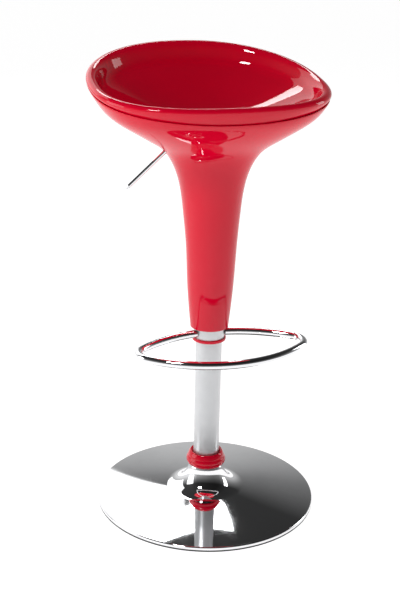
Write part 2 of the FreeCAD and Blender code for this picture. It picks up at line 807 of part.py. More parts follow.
def add_arc(sketch, index, cx, cy, radius, start, end):
    """An arc held by its centre, its radius and one coordinate at each end."""
    first = FreeCAD.Vector(start[0].value, start[1].value, 0)
    last = FreeCAD.Vector(end[0].value, end[1].value, 0)
    centre = FreeCAD.Vector(cx.value, cy.value, 0)
    middle = (first + last) / 2 - centre
    middle = centre + middle.normalize() * radius.value
    sketch.addGeometry(Part.ArcOfCircle(first, middle, last), False)
    fix(sketch, "DistanceX", index, 3, cx)
    fix(sketch, "DistanceY", index, 3, cy)
    fix(sketch, "Radius", index, 0, radius)
    for point in (start, end):
        here = FreeCAD.Vector(point[0].value, point[1].value, 0)
        corner = 1 if sketch.getPoint(index, 1).distanceToPoint(here) < 1e-6 else 2
        arm = here - centre
        if abs(arm.x) > abs(arm.y):
            fix(sketch, "DistanceY", index, corner, point[1])
        else:
            fix(sketch, "DistanceX", index, corner, point[0])


# ---------------------------------------------------------------- release lever
def lever_bracket():
    """Channel bracket with two ears, which carries the lever's pivot pin."""
    inner = size("lever_radius") + size("loose")
    outer = inner + size("bracket_wall")
    low = seat_plate_top
    web = doc.addObject("Part::Box", "bracket_block")
    bind(web, Length=size("bracket_length"), Width=outer * 2, Height=size("bracket_height"))
    place(web, -size("pivot_x") - size("bracket_length") / 2, -outer, low)
    channel = doc.addObject("Part::Box", "bracket_channel")
    bind(channel, Length=size("bracket_length") + size("overrun") * 2, Width=inner * 2,
         Height=size("bracket_height"))
    place(channel, -size("pivot_x") - size("bracket_length") / 2 - size("overrun"), -inner,
          low + size("bracket_floor"))
    drill = cross_drill("bracket_hole", size("pivot_radius"), outer + size("overrun"))
    open_block = doc.addObject("Part::Cut", "bracket_open")
    open_block.Base = web
    open_block.Tool = channel
    bracket = doc.addObject("Part::Cut", "bracket")
    bracket.Base = open_block
    bracket.Tool = drill
    keep(bracket, "lever_bracket")
    pin = cross_drill("pivot_pin", size("pivot_radius"), outer + size("pivot_proud"))
    return keep(pin, "lever_pivot_pin")


def cross_drill(name, radius, half_length):
    """A cylinder across the stool through the lever's pivot."""
    drill = doc.addObject("Part::Cylinder", name)
    drill.Placement.Rotation = FreeCAD.Rotation(FreeCAD.Vector(1, 0, 0), -90)
    bind(drill, Radius=radius, Height=half_length * 2)
    return place(drill, -size("pivot_x"), -half_length, lever_z)


def release_lever():
    """Bent rod: level over the valve pin and pivot, then down and out through the shell."""
    body = new_body("release_lever")
    path = sketch_on(body, "XZ_Plane", "lever_path")
    droop = size("lever_droop")
    bend = size("lever_bend_radius")
    bend_length = bend * (1 - cosine(droop)) / sine(droop)
    level_x = -size("lever_bend_x") + bend_length
    down_x = -size("lever_bend_x") - bend_length * cosine(droop)
    down_z = lever_z - bend_length * sine(droop)
    tip_x = -size("lever_reach")
    fall = (size("lever_reach") - size("lever_bend_x")) * sine(droop) / cosine(droop)
    tip_z = lever_z - fall
    corners = [(size("lever_inner"), lever_z), (level_x, lever_z),
               (down_x, down_z), (tip_x, tip_z)]
    points = [FreeCAD.Vector(x.value, z.value, 0) for x, z in corners]
    path.addGeometry(Part.LineSegment(points[0], points[1]), False)
    centre = FreeCAD.Vector(level_x.value, lever_z.value - bend.value, 0)
    turn = math.radians(droop.value)
    path.addGeometry(Part.ArcOfCircle(Part.Circle(centre, FreeCAD.Vector(0, 0, 1), bend.value),
                                      math.pi / 2, math.pi / 2 + turn), False)
    path.addGeometry(Part.LineSegment(points[2], points[3]), False)
    path.addConstraint(Sketcher.Constraint("Coincident", 0, 2, 1, 1))
    path.addConstraint(Sketcher.Constraint("Coincident", 1, 2, 2, 1))
    for line, corner, (x, z) in ((0, 1, corners[0]), (0, 2, corners[1]),
                                 (2, 1, corners[2]), (2, 2, corners[3])):
        fix(path, "DistanceX", line, corner, x)
        fix(path, "DistanceY", line, corner, z)
    fix(path, "Radius", 1, 0, bend)
    section = sketch_on(body, "YZ_Plane", "lever_section", size("lever_inner"))
    circle(section, 0, lever_z, size("lever_radius"))
    rod = body.newObject("PartDesign::AdditivePipe", "lever_rod")
    rod.Profile = section
    rod.Spine = (path, ["Edge1", "Edge2", "Edge3"])
    body.Tip = rod
    doc.recompute()
    tip = FreeCAD.Vector(tip_x.value, 0, tip_z.value)
    rims = ["Edge%d" % (index + 1) for index, edge in enumerate(rod.Shape.Edges)
            if edge.BoundBox.Center.distanceToPoint(tip) < 0.5]
    point = body.newObject("PartDesign::Chamfer", "lever_tip")
    point.Base = (rod, rims)
    point.ChamferType = "Two distances"
    point.FlipDirection = True
    bind(point, Size=size("lever_radius") - size("lever_tip_radius"), Size2=size("lever_point"))
    body.Tip = point
    doc.recompute()
    if not point.Shape.Volume < rod.Shape.Volume:
        raise RuntimeError("release_lever: the tip is not pointed")
    drilled = doc.addObject("Part::Cut", "lever_drilled")
    drilled.Base = body
    drilled.Tool = cross_drill("lever_hole", size("pivot_radius") + size("running"),
                               size("lever_radius") + size("overrun"))
    return keep(drilled, "release_lever")


# ---------------------------------------------------------------- seat shells
# The flare from neck to rim is a family of closed curves.  A level's share says how far its
# outline has turned from the neck's circle into the seat's rim, and its rise says how far it has
# climbed from the neck to the rim.  The setback grows faster than the share, so the underside
# leans back.
FLARE = [(0.0, 0.0), (0.03, 0.197), (0.075, 0.385), (0.15, 0.512), (0.27, 0.612), (0.45, 0.688),
         (0.68, 0.772), (0.88, 0.863)]
SETBACK_GROWTH = 0.75
# How the flare's tilt from front to back grows with its share of the outline.
TILT_GROWTH = 0.5
# The seam's share of the rim's outline at the sides and back, and in the middle of the front.
SEAM_SIDE = 0.98
SEAM_FRONT = 0.952
# The bowl: a share of the rim's outline, and how far it has climbed from floor to rim.
BOWL = [(0.12, 0.0), (0.3, 0.03), (0.48, 0.16), (0.66, 0.38), (0.78, 0.55), (0.87, 0.72)]
# The rolled rim: angles round the roll, from the bowl's side over the top to the outside.
ROLL = [150, 120, 90, 60, 30, 0]
FRONT_SQUARENESS = 2.5
BACK_SQUARENESS = 2.2
AROUND = 48


def number(alias):
    return float(sheet.get(alias))


def rim_plan(angle):
    """A point of the rim's outline, from the seat's own centre."""
    across, along = math.cos(angle), math.sin(angle)
    reach = number("seat_front") if along < 0 else number("seat_back")
    power = FRONT_SQUARENESS if along < 0 else BACK_SQUARENESS
    sides = abs(across / number("seat_half_width")) ** power
    ends = abs(along / reach) ** power
    radius = (sides + ends) ** (-1 / power)
    return radius * across, radius * along


def rim_height(y):
    """Height of the rim's top: a parabola through its front, side and back heights."""
    low, high = -number("seat_front"), number("seat_back")
    front = number("rim_front_height") * y * (y - high) / (low * (low - high))
    side = number("rim_side_height") * (y - low) * (y - high) / (low * high)
    back = number("rim_back_height") * y * (y - low) / (high * (high - low))
    return bowl_floor_z.value + front + side + back


def around():
    return [2 * math.pi * (step + 0.5) / AROUND for step in range(AROUND)]


def flare_level(share, rise):
    """One line round the flare, rise of the way up from the neck to the rim.

    It tilts as the rim does, and the less the nearer it is to the neck.
    """
    points = []
    side_z = bowl_floor_z.value + number("rim_side_height")
    for angle in around():
        x, y = rim_plan(angle)
        neck = neck_radius.value * (1 - share)
        top = side_z + (rim_height(y) - side_z) * share ** TILT_GROWTH
        height = neck_z.value + (top - neck_z.value) * rise
        shift = number("seat_setback") * share ** SETBACK_GROWTH
        points.append(FreeCAD.Vector(x * share + neck * math.cos(angle),
                                     y * share + neck * math.sin(angle) + shift, height))
    return points


def seam_level(lift):
    """The line where pan and stem shell meet, deepest in front, or the same line lifted."""
    points = []
    for angle in around():
        dip = max(0.0, -math.sin(angle)) ** 2
        share = SEAM_SIDE + (SEAM_FRONT - SEAM_SIDE) * dip
        x, y = rim_plan(angle)
        height = rim_height(y) - number("seam_drop") - number("seam_dip") * dip + lift
        points.append(FreeCAD.Vector(x * share, y * share + number("seat_setback"), height))
    return points


def bowl_level(share, climb):
    points = []
    for angle in around():
        x, y = rim_plan(angle)
        floor = bowl_floor_z.value
        height = floor + (rim_height(y) - floor) * climb
        points.append(FreeCAD.Vector(x * share, y * share + number("seat_setback"), height))
    return points


def roll_level(turn):
    """One line round the rolled rim, at an angle up from the outside."""
    points = []
    inset = number("rim_roll_width") * (1 - math.cos(math.radians(turn)))
    drop = number("rim_roll_height") * (1 - math.sin(math.radians(turn)))
    for angle in around():
        x, y = rim_plan(angle)
        share = 1 - inset / math.hypot(x, y)
        points.append(FreeCAD.Vector(x * share, y * share + number("seat_setback"),
                                     rim_height(y) - drop))
    return points


def stem_level(radius, height):
    return [FreeCAD.Vector(radius * math.cos(angle), radius * math.sin(angle), height)
            for angle in around()]


def inside(levels, depth, start):
    """The same levels moved by depth to the left of the way they run, square to the surface.

    At the start, a foot stays at its height and a bowl's middle stays flat.  The last level keeps
    its heights, so the two faces of the seam stay apart.
    """
    moved = []
    for index, level in enumerate(levels):
        below = levels[max(index - 1, 0)]
        above = levels[min(index + 1, len(levels) - 1)]
        row = []
        for step, point in enumerate(level):
            along = level[(step + 1) % AROUND] - level[step - 1]
            normal = along.cross(above[step] - below[step])
            if index == len(levels) - 1 or index == 0 and start == "foot":
                normal.z = 0
            if index == 0 and start == "middle":
                normal = FreeCAD.Vector(0, 0, -1)
            row.append(point - normal.normalize() * depth)
        moved.append(row)
    return moved


def skin(levels):
    """One smooth surface through closed levels: cubic along them and cubic from one to the next."""
    stops = [0.0]
    for lower, upper in zip(levels, levels[1:]):
        step = sum(a.distanceToPoint(b) for a, b in zip(lower, upper)) / AROUND
        stops.append(stops[-1] + step)
    columns = []
    for ray in zip(*levels):
        rib = Part.BSplineCurve()
        rib.interpolate(Points=list(ray), Parameters=stops)
        columns.append(rib.getPoles())
    rows = []
    for ray in zip(*columns):
        hoop = Part.BSplineCurve()
        hoop.interpolate(Points=list(ray), PeriodicFlag=True,
                         Parameters=[float(step) for step in range(AROUND + 1)])
        rows.append(hoop.getPoles())
    surface = Part.BSplineSurface()
    surface.buildFromPolesMultsKnots([list(ray) for ray in zip(*rows)],
                                     hoop.getMultiplicities(), rib.getMultiplicities(),
                                     hoop.getKnots(), rib.getKnots(), True, False,
                                     hoop.Degree, rib.Degree)
    return surface, surface.vIso(stops[0]).toShape(), surface.vIso(stops[-1]).toShape()


def walled(levels, depth, start):
    """A solid wall: two skins a depth apart, closed by a ruled strip at the last level.

    The first level is closed by one flat ring at a foot, and by two flat discs in a middle.
    """
    outside, outer_start, outer_end = skin(levels)
    lining, inner_start, inner_end = skin(inside(levels, depth, start))
    discs = [Part.Face(Part.Wire([edge])) for edge in (outer_start, inner_start)]
    if start == "foot":
        discs = discs[0].cut(discs[1]).Faces
    strip = Part.makeRuledSurface(outer_end, inner_end)
    shell = Part.makeShell([outside.toShape(), lining.toShape()] + strip.Faces + discs)
    shell.sewShape()
    solid = Part.makeSolid(shell)
    if solid.Volume < 0:
        solid.reverse()
    return solid


def stem_shell():
    """Moulded stem: a long taper over the sleeve that flares out to carry the seat pan."""
    middle = (shell_foot_z.value + neck_z.value) / 2
    skin_radius = sleeve_radius.value + number("shell_wall")
    levels = [stem_level(skin_radius + number("stem_foot_gap"), shell_foot_z.value),
              stem_level(skin_radius + number("stem_mid_gap"), middle)]
    levels += [flare_level(share, rise) for share, rise in FLARE]
    levels.append(seam_level(0))
    shell = walled(levels, number("shell_wall"), "foot")
    # the lever's slot is open all round the rod, and above it by the rod's swing
    wide = number("lever_radius") + number("slot_gap")
    sweep = (number("lever_reach") - number("pivot_x")) * math.radians(number("lever_swing")) / 2
    slot = Part.makeBox(number("lever_reach"), wide * 2, wide * 2 + sweep,
                        FreeCAD.Vector(-number("lever_reach"), -wide, -wide))
    slot.rotate(FreeCAD.Vector(0, 0, 0), FreeCAD.Vector(0, 1, 0), -number("lever_droop"))
    slot.translate(FreeCAD.Vector(-number("lever_bend_x"), 0, lever_z.value))
    part = doc.addObject("Part::Feature", "stem_shell_shape")
    part.Shape = shell.cut(slot)
    return keep(part, "stem_shell")


def seat_pan():
    """Moulded bowl with a rolled rim, and a screw boss over each hole of the seat plate."""
    levels = [bowl_level(share, climb) for share, climb in BOWL]
    levels += [roll_level(turn) for turn in ROLL]
    levels.append(seam_level(number("seam_gap")))
    pan = walled(levels, -number("pan_wall"), "middle")
    for x, y in screw_places():
        foot = FreeCAD.Vector(x.value, y.value, seat_plate_top.value)
        sky = FreeCAD.Vector(x.value, y.value, rim_height(number("seat_back")))
        under = Part.makeLine(foot, sky).common(pan).BoundBox.ZMin
        height = under + number("pan_wall") / 2 - foot.z
        boss = Part.makeCylinder(number("boss_radius"), height, foot)
        thread = Part.makeCylinder(number("screw_radius"), number("screw_length"), foot)
        pan = pan.fuse(boss).cut(thread)
    part = doc.addObject("Part::Feature", "seat_pan_shape")
    part.Shape = pan
    return keep(part, "seat_pan")


# ---------------------------------------------------------------- build
base_shell()
floor_ring()
drilled_disc("base_plate", size("access_radius"), base_radius - size("base_plate_inset"),
             plate_z, size("plate_thickness"))
drilled_disc("ballast_disc", size("access_radius"), base_radius - size("ballast_inset"),
             ballast_z, size("ballast_thickness"))
drilled_disc("column_flange", column_radius, size("flange_dia") / 2,
             flange_z, size("flange_thickness"))
flange_bolts()
base_collar()
keep(ring("column_tube", column_bore, column_radius, flange_z, column_top_z), "column_tube")
keep(ring("column_end_plate", size("rod_radius") + size("rod_hole_gap"), column_bore,
          size("end_plate_z"), bearing_z), "column_end_plate")
column_guide()
keep(ring("bearing_lower_race", size("rod_radius") + size("rod_hole_gap"), size("race_radius"),
          bearing_z, bearing_z + size("race_thickness")), "bearing_lower_race")
keep(circle_of_balls("ball", size("ball_radius")), "bearing_balls")
bearing_cage()
keep(ring("bearing_upper_race", size("rod_radius"), size("race_radius"),
          upper_race_z, bump_z), "bearing_upper_race")
keep(ring("bump_stop", size("rod_radius"), size("race_radius") - size("bump_inset"),
          bump_z, bump_z + size("bump_height")), "bump_stop")
keep(ring("rod_clip", size("rod_radius") - size("rod_step"), size("clip_radius"),
          size("end_plate_z") - size("stop_gap") - size("clip_thickness"),
          size("end_plate_z") - size("stop_gap")), "rod_clip")
piston_rod()
piston()
gas_cylinder()
taper_socket()
seat_plate()
seat_screws()
keep(ring("stem_sleeve", sleeve_bore, sleeve_radius, size("sleeve_foot_z"), seat_plate_z),
     "stem_sleeve")
guide_bush()
footrest_ring()
lever_bracket()
release_lever()
stem_shell()
seat_pan()
doc.recompute()

for item in doc.Objects:
    if "Invalid" in item.State or "Error" in item.State:
        raise RuntimeError("%s: %s" % (item.Name, item.State))
for part in PARTS:
    if part.Shape.isNull() or not part.Shape.isValid():
        raise RuntimeError(part.Label + ": bad shape")
    part.Shape.exportStep("parts/%s.step" % part.Label)
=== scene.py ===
# %% [markdown]
# # An adjustable swivel stool
# The stool is a moulded bucket seat on a flaring plastic stem, which slides on a steel column and
# turns on a gas spring.  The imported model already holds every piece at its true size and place.
# Here its visible pieces get smooth skins and real finishes, and nothing moves from where it is.

# %% Load the frame and keep its box
import math

import bmesh
import bpy
import numpy as np
from mathutils import Matrix, Vector


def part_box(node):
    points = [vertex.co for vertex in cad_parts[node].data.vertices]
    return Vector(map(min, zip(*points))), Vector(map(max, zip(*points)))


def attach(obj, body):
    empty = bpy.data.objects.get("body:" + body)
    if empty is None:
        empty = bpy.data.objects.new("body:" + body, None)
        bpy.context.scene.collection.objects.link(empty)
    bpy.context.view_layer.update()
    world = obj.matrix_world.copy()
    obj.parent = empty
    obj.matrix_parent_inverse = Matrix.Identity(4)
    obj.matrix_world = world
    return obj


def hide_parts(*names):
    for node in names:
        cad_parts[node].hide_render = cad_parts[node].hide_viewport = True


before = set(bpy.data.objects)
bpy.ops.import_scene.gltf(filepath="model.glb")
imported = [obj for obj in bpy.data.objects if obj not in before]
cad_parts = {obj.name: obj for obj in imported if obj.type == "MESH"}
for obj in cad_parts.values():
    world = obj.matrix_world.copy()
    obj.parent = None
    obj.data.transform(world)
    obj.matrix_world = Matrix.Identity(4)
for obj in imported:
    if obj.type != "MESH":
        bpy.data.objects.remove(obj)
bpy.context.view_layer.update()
MM = 0.001

# %% [markdown]
# ## How a finish is written
# A material is a graph of nodes.  Two small helpers keep that graph readable.  `Wire` wraps a
# node's output, so `1 - mask` adds the Math node it needs.  `Finish.node` makes every other node
# from its type, its settings and its inputs.  Python does all sums on plain numbers by itself.

# %% Shader helpers
class Wire:
    """A node's output that Python's operators can work on."""

    def __init__(self, finish, socket):
        self.finish = finish
        self.socket = socket

    def sum_with(self, operation, first, second):
        return self.finish.node("ShaderNodeMath", {"operation": operation}, {0: first, 1: second})

    def __add__(self, other):
        return self.sum_with("ADD", self, other)

    def __sub__(self, other):
        return self.sum_with("SUBTRACT", self, other)

    def __mul__(self, other):
        return self.sum_with("MULTIPLY", self, other)

    def __rsub__(self, other):
        return self.sum_with("SUBTRACT", other, self)

    def __radd__(self, other):
        return self.sum_with("ADD", other, self)

    def __rmul__(self, other):
        return self.sum_with("MULTIPLY", other, self)


class Finish:
    """A material, with the nodes that most of this stool's finishes share."""

    def __init__(self, name):
        self.material = bpy.data.materials.new(name)
        self.material.use_nodes = True
        self.tree = self.material.node_tree
        self.tree.nodes.clear()

    def node(self, kind, settings=None, inputs=None, output=0):
        made = self.tree.nodes.new(kind)
        for key, value in (settings or {}).items():
            if key == "stops":
                ramp = made.color_ramp
                for place, _ in value[2:]:
                    ramp.elements.new(place)
                for element, (place, shade) in zip(ramp.elements, sorted(value)):
                    element.position = place
                    element.color = (shade, shade, shade, 1)
            else:
                setattr(made, key, value)
        for key, value in (inputs or {}).items():
            if isinstance(value, Wire):
                self.tree.links.new(value.socket, made.inputs[key])
            elif value is not None:
                made.inputs[key].default_value = value
        return Wire(self, made.outputs[output]) if made.outputs else None

    def place(self, stretch=(1, 1, 1)):
        """Object coordinates, stretched along an axis where a finish runs along the piece."""
        here = self.node("ShaderNodeTexCoord", output="Object")
        return self.node("ShaderNodeMapping", {}, {"Vector": here, "Scale": stretch})

    def noise(self, scale, detail=2.0, rough=0.5, stretch=(1, 1, 1)):
        """Cloudy noise; scale counts its blotches to the metre."""
        return self.node("ShaderNodeTexNoise", {},
                         {"Vector": self.place(stretch), "Scale": scale, "Detail": detail,
                          "Roughness": rough}, output="Fac")

    def cut(self, wire, low, high):
        """The wire stretched so that low becomes 0 and high becomes 1."""
        return self.node("ShaderNodeValToRGB", {"stops": [(low, 0.0), (high, 1.0)]}, {"Fac": wire})

    def blend(self, mask, first, second):
        """One colour fading into another where the mask is high."""
        return self.node("ShaderNodeMix", {"data_type": "RGBA"},
                         {0: mask, 6: (*first, 1), 7: (*second, 1)}, output=2)

    def bump(self, height, depth):
        """Relief of the given depth in millimetres."""
        return self.node("ShaderNodeBump", {}, {"Height": height, "Distance": depth * MM})

    def surface(self, color, roughness, metallic=0.0, normal=None, **constants):
        inputs = {"Base Color": color, "Roughness": roughness, "Metallic": metallic,
                  "Normal": normal}
        inputs.update({key.replace("_", " "): value for key, value in constants.items()})
        shader = self.node("ShaderNodeBsdfPrincipled", {}, inputs)
        self.node("ShaderNodeOutputMaterial", {}, {"Surface": shader})
        return self.material


# %% [markdown]
# ## High-gloss plastic
# Seat, stem, collar and trim ring are one deep red, moulded in a polished tool.  Such a surface is
# nearly a mirror, yet never perfect: it has a faint waviness from shrinkage, a fine haze of
# wiping marks, and a colour that deepens slightly where the wall is thicker.  A clear coat over
# the coloured body gives the sharp highlights without making the colour itself shiny.

# %% Red gloss
def red_gloss(name, shrinkage):
    finish = Finish(name)
    depth = finish.noise(5.0, 1.0)
    color = finish.blend(depth, (0.66, 0.0, 0.018), (0.76, 0.001, 0.028))
    wiping = finish.cut(finish.noise(60.0, 5.0, 0.65, (1, 1, 5)), 0.42, 0.78)
    peel = finish.noise(260.0, 1.0) + finish.noise(22.0, 1.0) * shrinkage
    return finish.surface(color, 0.16 + wiping * 0.10, 0.0, finish.bump(peel, 0.012),
                          Specular_IOR_Level=0.0, Coat_Weight=0.8, Coat_Roughness=0.02, Coat_IOR=1.5)


RED_SEAT = red_gloss("red_gloss_seat", 1.2)
RED_TRIM = red_gloss("red_gloss_trim", 0.4)
print("red gloss for the seat and for the trim")

# %% [markdown]
# ## Chrome and satin lacquer
# The base, footrest and lever are polished and chrome plated.  The plate follows every small wave
# of the polishing wheel, so a long soft bump bends the reflections a little, and a light haze
# of handling raises the roughness in patches.  The column is lacquered silver: a duller metal,
# whose drawn tube leaves fine lines along its length.

# %% Chrome and silver lacquer
def chrome(name, wave, haze):
    finish = Finish(name)
    patches = finish.cut(finish.noise(14.0, 4.0, 0.6), 0.45, 0.75)
    color = finish.blend(patches, (0.84, 0.845, 0.86), (0.78, 0.785, 0.80))
    polish = finish.noise(9.0, 1.0) * wave + finish.noise(700.0, 1.0) * 0.02
    return finish.surface(color, 0.035 + patches * haze, 1.0, finish.bump(polish, 0.05))


def satin_silver():
    finish = Finish("satin_silver")
    drawn = finish.noise(900.0, 2.0, 0.5, (1, 1, 0.02))
    mottle = finish.noise(40.0, 3.0)
    color = finish.blend(mottle, (0.60, 0.61, 0.625), (0.68, 0.69, 0.70))
    return finish.surface(color, 0.30 + drawn * 0.14, 0.55, finish.bump(drawn, 0.01),
                          Coat_Weight=0.35, Coat_Roughness=0.12)


CHROME_BASE = chrome("chrome_base", 1.0, 0.05)
CHROME_TUBE = chrome("chrome_tube", 0.3, 0.07)
SILVER = satin_silver()
print("chrome for the base and the tubes, lacquer for the column")

# %% [markdown]
# ## Metals and plastics that are seldom seen
# Under the base and inside the column are plain working materials.  One recipe serves the metals:
# two tones mottled by noise, turning or rolling marks in the roughness, and a shallow relief.
# Rubber, nylon and paint follow the same recipe without the metal.

# %% Working materials
def worked(name, dark, light, roughness, metallic, relief, grain, stretch=(1, 1, 1)):
    finish = Finish(name)
    mottle = finish.cut(finish.noise(grain / 8, 4.0, 0.6), 0.3, 0.7)
    marks = finish.noise(grain, 3.0, 0.6, stretch)
    return finish.surface(finish.blend(mottle, dark, light), roughness + marks * 0.15, metallic,
                          finish.bump(marks, relief))


RUBBER = worked("black_rubber", (0.012, 0.012, 0.013), (0.03, 0.03, 0.032), 0.62, 0.0, 0.06, 900)
BARE_STEEL = worked("bare_steel", (0.28, 0.28, 0.29), (0.42, 0.42, 0.43), 0.34, 1.0, 0.03, 700,
                    (1, 0.08, 1))
CAST_IRON = worked("cast_iron", (0.03, 0.03, 0.033), (0.075, 0.073, 0.07), 0.6, 0.6, 0.3, 420)
ZINC = worked("zinc_steel", (0.46, 0.48, 0.44), (0.62, 0.64, 0.60), 0.24, 1.0, 0.02, 500)
GROUND = worked("ground_steel", (0.55, 0.56, 0.57), (0.66, 0.67, 0.68), 0.12, 1.0, 0.006, 1500,
                (1, 1, 12))
BRASS = worked("brass_cage", (0.50, 0.34, 0.10), (0.66, 0.48, 0.18), 0.25, 1.0, 0.02, 600)
ALUMINIUM = worked("aluminium", (0.60, 0.61, 0.62), (0.74, 0.75, 0.76), 0.28, 1.0, 0.02, 900,
                   (1, 1, 10))
NYLON = worked("white_nylon", (0.70, 0.69, 0.63), (0.80, 0.79, 0.74), 0.40, 0.0, 0.04, 800)
BLACK_PAINT = worked("black_painted", (0.012, 0.012, 0.012), (0.028, 0.028, 0.028), 0.30, 0.0,
                     0.04, 650)

WORKING = {
    "base_plate": BARE_STEEL, "column_flange": BARE_STEEL, "column_end_plate": BARE_STEEL,
    "taper_socket": BARE_STEEL, "ballast_disc": CAST_IRON, "column_guide": NYLON,
    "rod_guide": NYLON, "bearing_lower_race": GROUND, "bearing_upper_race": GROUND,
    "piston_rod": GROUND, "valve_pin": GROUND, "bearing_cage": BRASS, "piston": ALUMINIUM,
    "valve_block": ALUMINIUM, "piston_seal": RUBBER, "bump_stop": RUBBER, "rod_clip": ZINC,
    "lever_bracket": ZINC, "lever_pivot_pin": ZINC, "gas_cylinder": BLACK_PAINT,
    "seat_plate": BLACK_PAINT,
}
for node_name, material in WORKING.items():
    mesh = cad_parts[node_name].data
    mesh.materials.clear()
    mesh.materials.append(material)
print(len(WORKING), "carried-over nodes have a finish")

# %% [markdown]
# ## From numbers to a piece
# The shapes below are worked out in millimetres, as the design is.  One helper turns rows of
# points into a closed mesh in metres, checks which way its faces point by the sign of its volume,
# and shades it smooth except where two faces meet sharply.

# %% Mesh helpers
def add_piece(mesh, body, slot, *nodes):
    """Hand a finished mesh to the frame: what it rides on, what it stands for."""
    piece = bpy.data.objects.new(mesh.name, mesh)
    bpy.context.scene.collection.objects.link(piece)
    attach(piece, body)
    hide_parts(*nodes)
    low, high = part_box(nodes[0])
    gap = max((Vector(corner) - limit).length for corner, limit in
              zip((np.min([v.co for v in mesh.vertices], 0), np.max([v.co for v in mesh.vertices], 0)),
                  (low, high)))
    print("%-14s %6d faces, corners within %.2f mm of the CAD box's" %
          (mesh.name, len(mesh.polygons), gap / MM))
    return piece


def closed_mesh(name, rows, material, ends="loop", sharp=40):
    """Rows of points round the piece, joined into a closed skin.

    With ends "loop" the last row joins the first; with "caps" both end rows are closed flat.
    """
    rows = np.asarray(rows, float) * MM
    count, around = rows.shape[:2]
    shell = bmesh.new()
    verts = [[shell.verts.new(point) for point in row] for row in rows]
    last = count if ends == "loop" else count - 1
    for row in range(last):
        above = (row + 1) % count
        for step in range(around):
            beside = (step + 1) % around
            shell.faces.new((verts[row][step], verts[row][beside],
                             verts[above][beside], verts[above][step]))
    if ends == "caps":
        shell.faces.new(verts[0][::-1])
        shell.faces.new(verts[-1])
    bmesh.ops.remove_doubles(shell, verts=shell.verts, dist=1e-7)
    if shell.calc_volume(signed=True) < 0:
        bmesh.ops.reverse_faces(shell, faces=shell.faces)
    return to_mesh(name, shell, material, sharp)


def to_mesh(name, shell, material, sharp=40):
    mesh = bpy.data.meshes.new(name)
    shell.to_mesh(mesh)
    shell.free()
    mesh.materials.append(material)
    mesh.shade_smooth()
    mesh.set_sharp_from_angle(angle=math.radians(sharp))
    return mesh


def arc(centre, radius, first, last, steps=24):
    """Points of (radius, height) along an arc, angles in degrees."""
    return [(centre[0] + radius * math.cos(math.radians(turn)),
             centre[1] + radius * math.sin(math.radians(turn)))
            for turn in np.linspace(first, last, steps)]


def softened(corners, steps=5):
    """A closed outline whose corners (x, y, fillet) are rounded by their fillets."""
    points = []
    for index, (x, y, fillet) in enumerate(corners):
        here = np.array((x, y))
        back = np.array(corners[index - 1][:2]) - here
        ahead = np.array(corners[(index + 1) % len(corners)][:2]) - here
        back /= np.linalg.norm(back)
        ahead /= np.linalg.norm(ahead)
        half = math.acos(np.clip(back @ ahead, -1, 1)) / 2
        if fillet == 0 or half > math.radians(88):
            points.append((x, y))
            continue
        middle = (back + ahead) / np.linalg.norm(back + ahead)
        centre = here + middle * fillet / math.sin(half)
        start = here + back * fillet / math.tan(half) - centre
        stop = here + ahead * fillet / math.tan(half) - centre
        turn = math.atan2(start[0] * stop[1] - start[1] * stop[0], start @ stop)
        for share in np.linspace(0, 1, steps):
            c, s = math.cos(turn * share), math.sin(turn * share)
            points.append((centre[0] + c * start[0] - s * start[1],
                           centre[1] + s * start[0] + c * start[1]))
    return points


def turned(name, outline, material, around=160):
    """Turn a closed outline of (radius, height) about the swivel axis."""
    angles = np.linspace(0, 2 * math.pi, around, endpoint=False)
    rows = [[(r * math.cos(a), r * math.sin(a), z) for a in angles] for r, z in outline]
    return closed_mesh(name, rows, material)


# %% [markdown]
# ## The base
# The real base is one steel sheet, pressed into a shallow cone that sweeps up like a trumpet to
# the column, and then chrome plated.  A lathe profile is the natural description.  The trumpet's
# bend is the one arc that touches both the cone and the upright throat, and the rim turns down
# with a small radius, which is what catches the thin bright line along the edge.

# %% Base shell
base_radius, throat_radius, throat_top = 213.5, 34.0, 76.0
rim_low, rim_high, sheet = 3.5, 9.5, 1.5
lean = math.radians(7.0)
bend_z = throat_top - 1.5
cone_rise = (base_radius - throat_radius) * math.tan(lean)
bend = (bend_z - rim_high - cone_rise) / (1 / math.cos(lean) - math.tan(lean))
bend_x = throat_radius + bend
inner_rim_z = bend_z - (bend + sheet) / math.cos(lean) - (base_radius - sheet - bend_x) * math.tan(lean)
outside = softened([(base_radius, rim_low, 0.4), (base_radius, rim_high, 2.5),
                    (bend_x - bend * math.sin(lean), bend_z - bend * math.cos(lean), 0)], 9)[:-1]
trumpet = arc((bend_x, bend_z), bend, 270 - math.degrees(lean), 180, 48)
lip = [(throat_radius, throat_top - 0.3), (throat_radius - 0.3, throat_top),
       (throat_radius - sheet + 0.3, throat_top), (throat_radius - sheet, throat_top - 0.3)]
lining = arc((bend_x, bend_z), bend + sheet, 180, 270 - math.degrees(lean), 48)
inner_rim = [(base_radius - sheet, inner_rim_z), (base_radius - sheet, rim_low)]
base_mesh = turned("base_shell_skin", outside + trumpet + lip + lining + inner_rim, CHROME_BASE, 256)
add_piece(base_mesh, "base", "chrome", "base_shell")
print("trumpet bend radius %.1f mm" % bend)

# %% [markdown]
# ## The rubber floor ring
# A soft ring under the rim keeps the chrome off the floor.  It is seen only as a dark line, with a
# shallow groove that lets it grip.

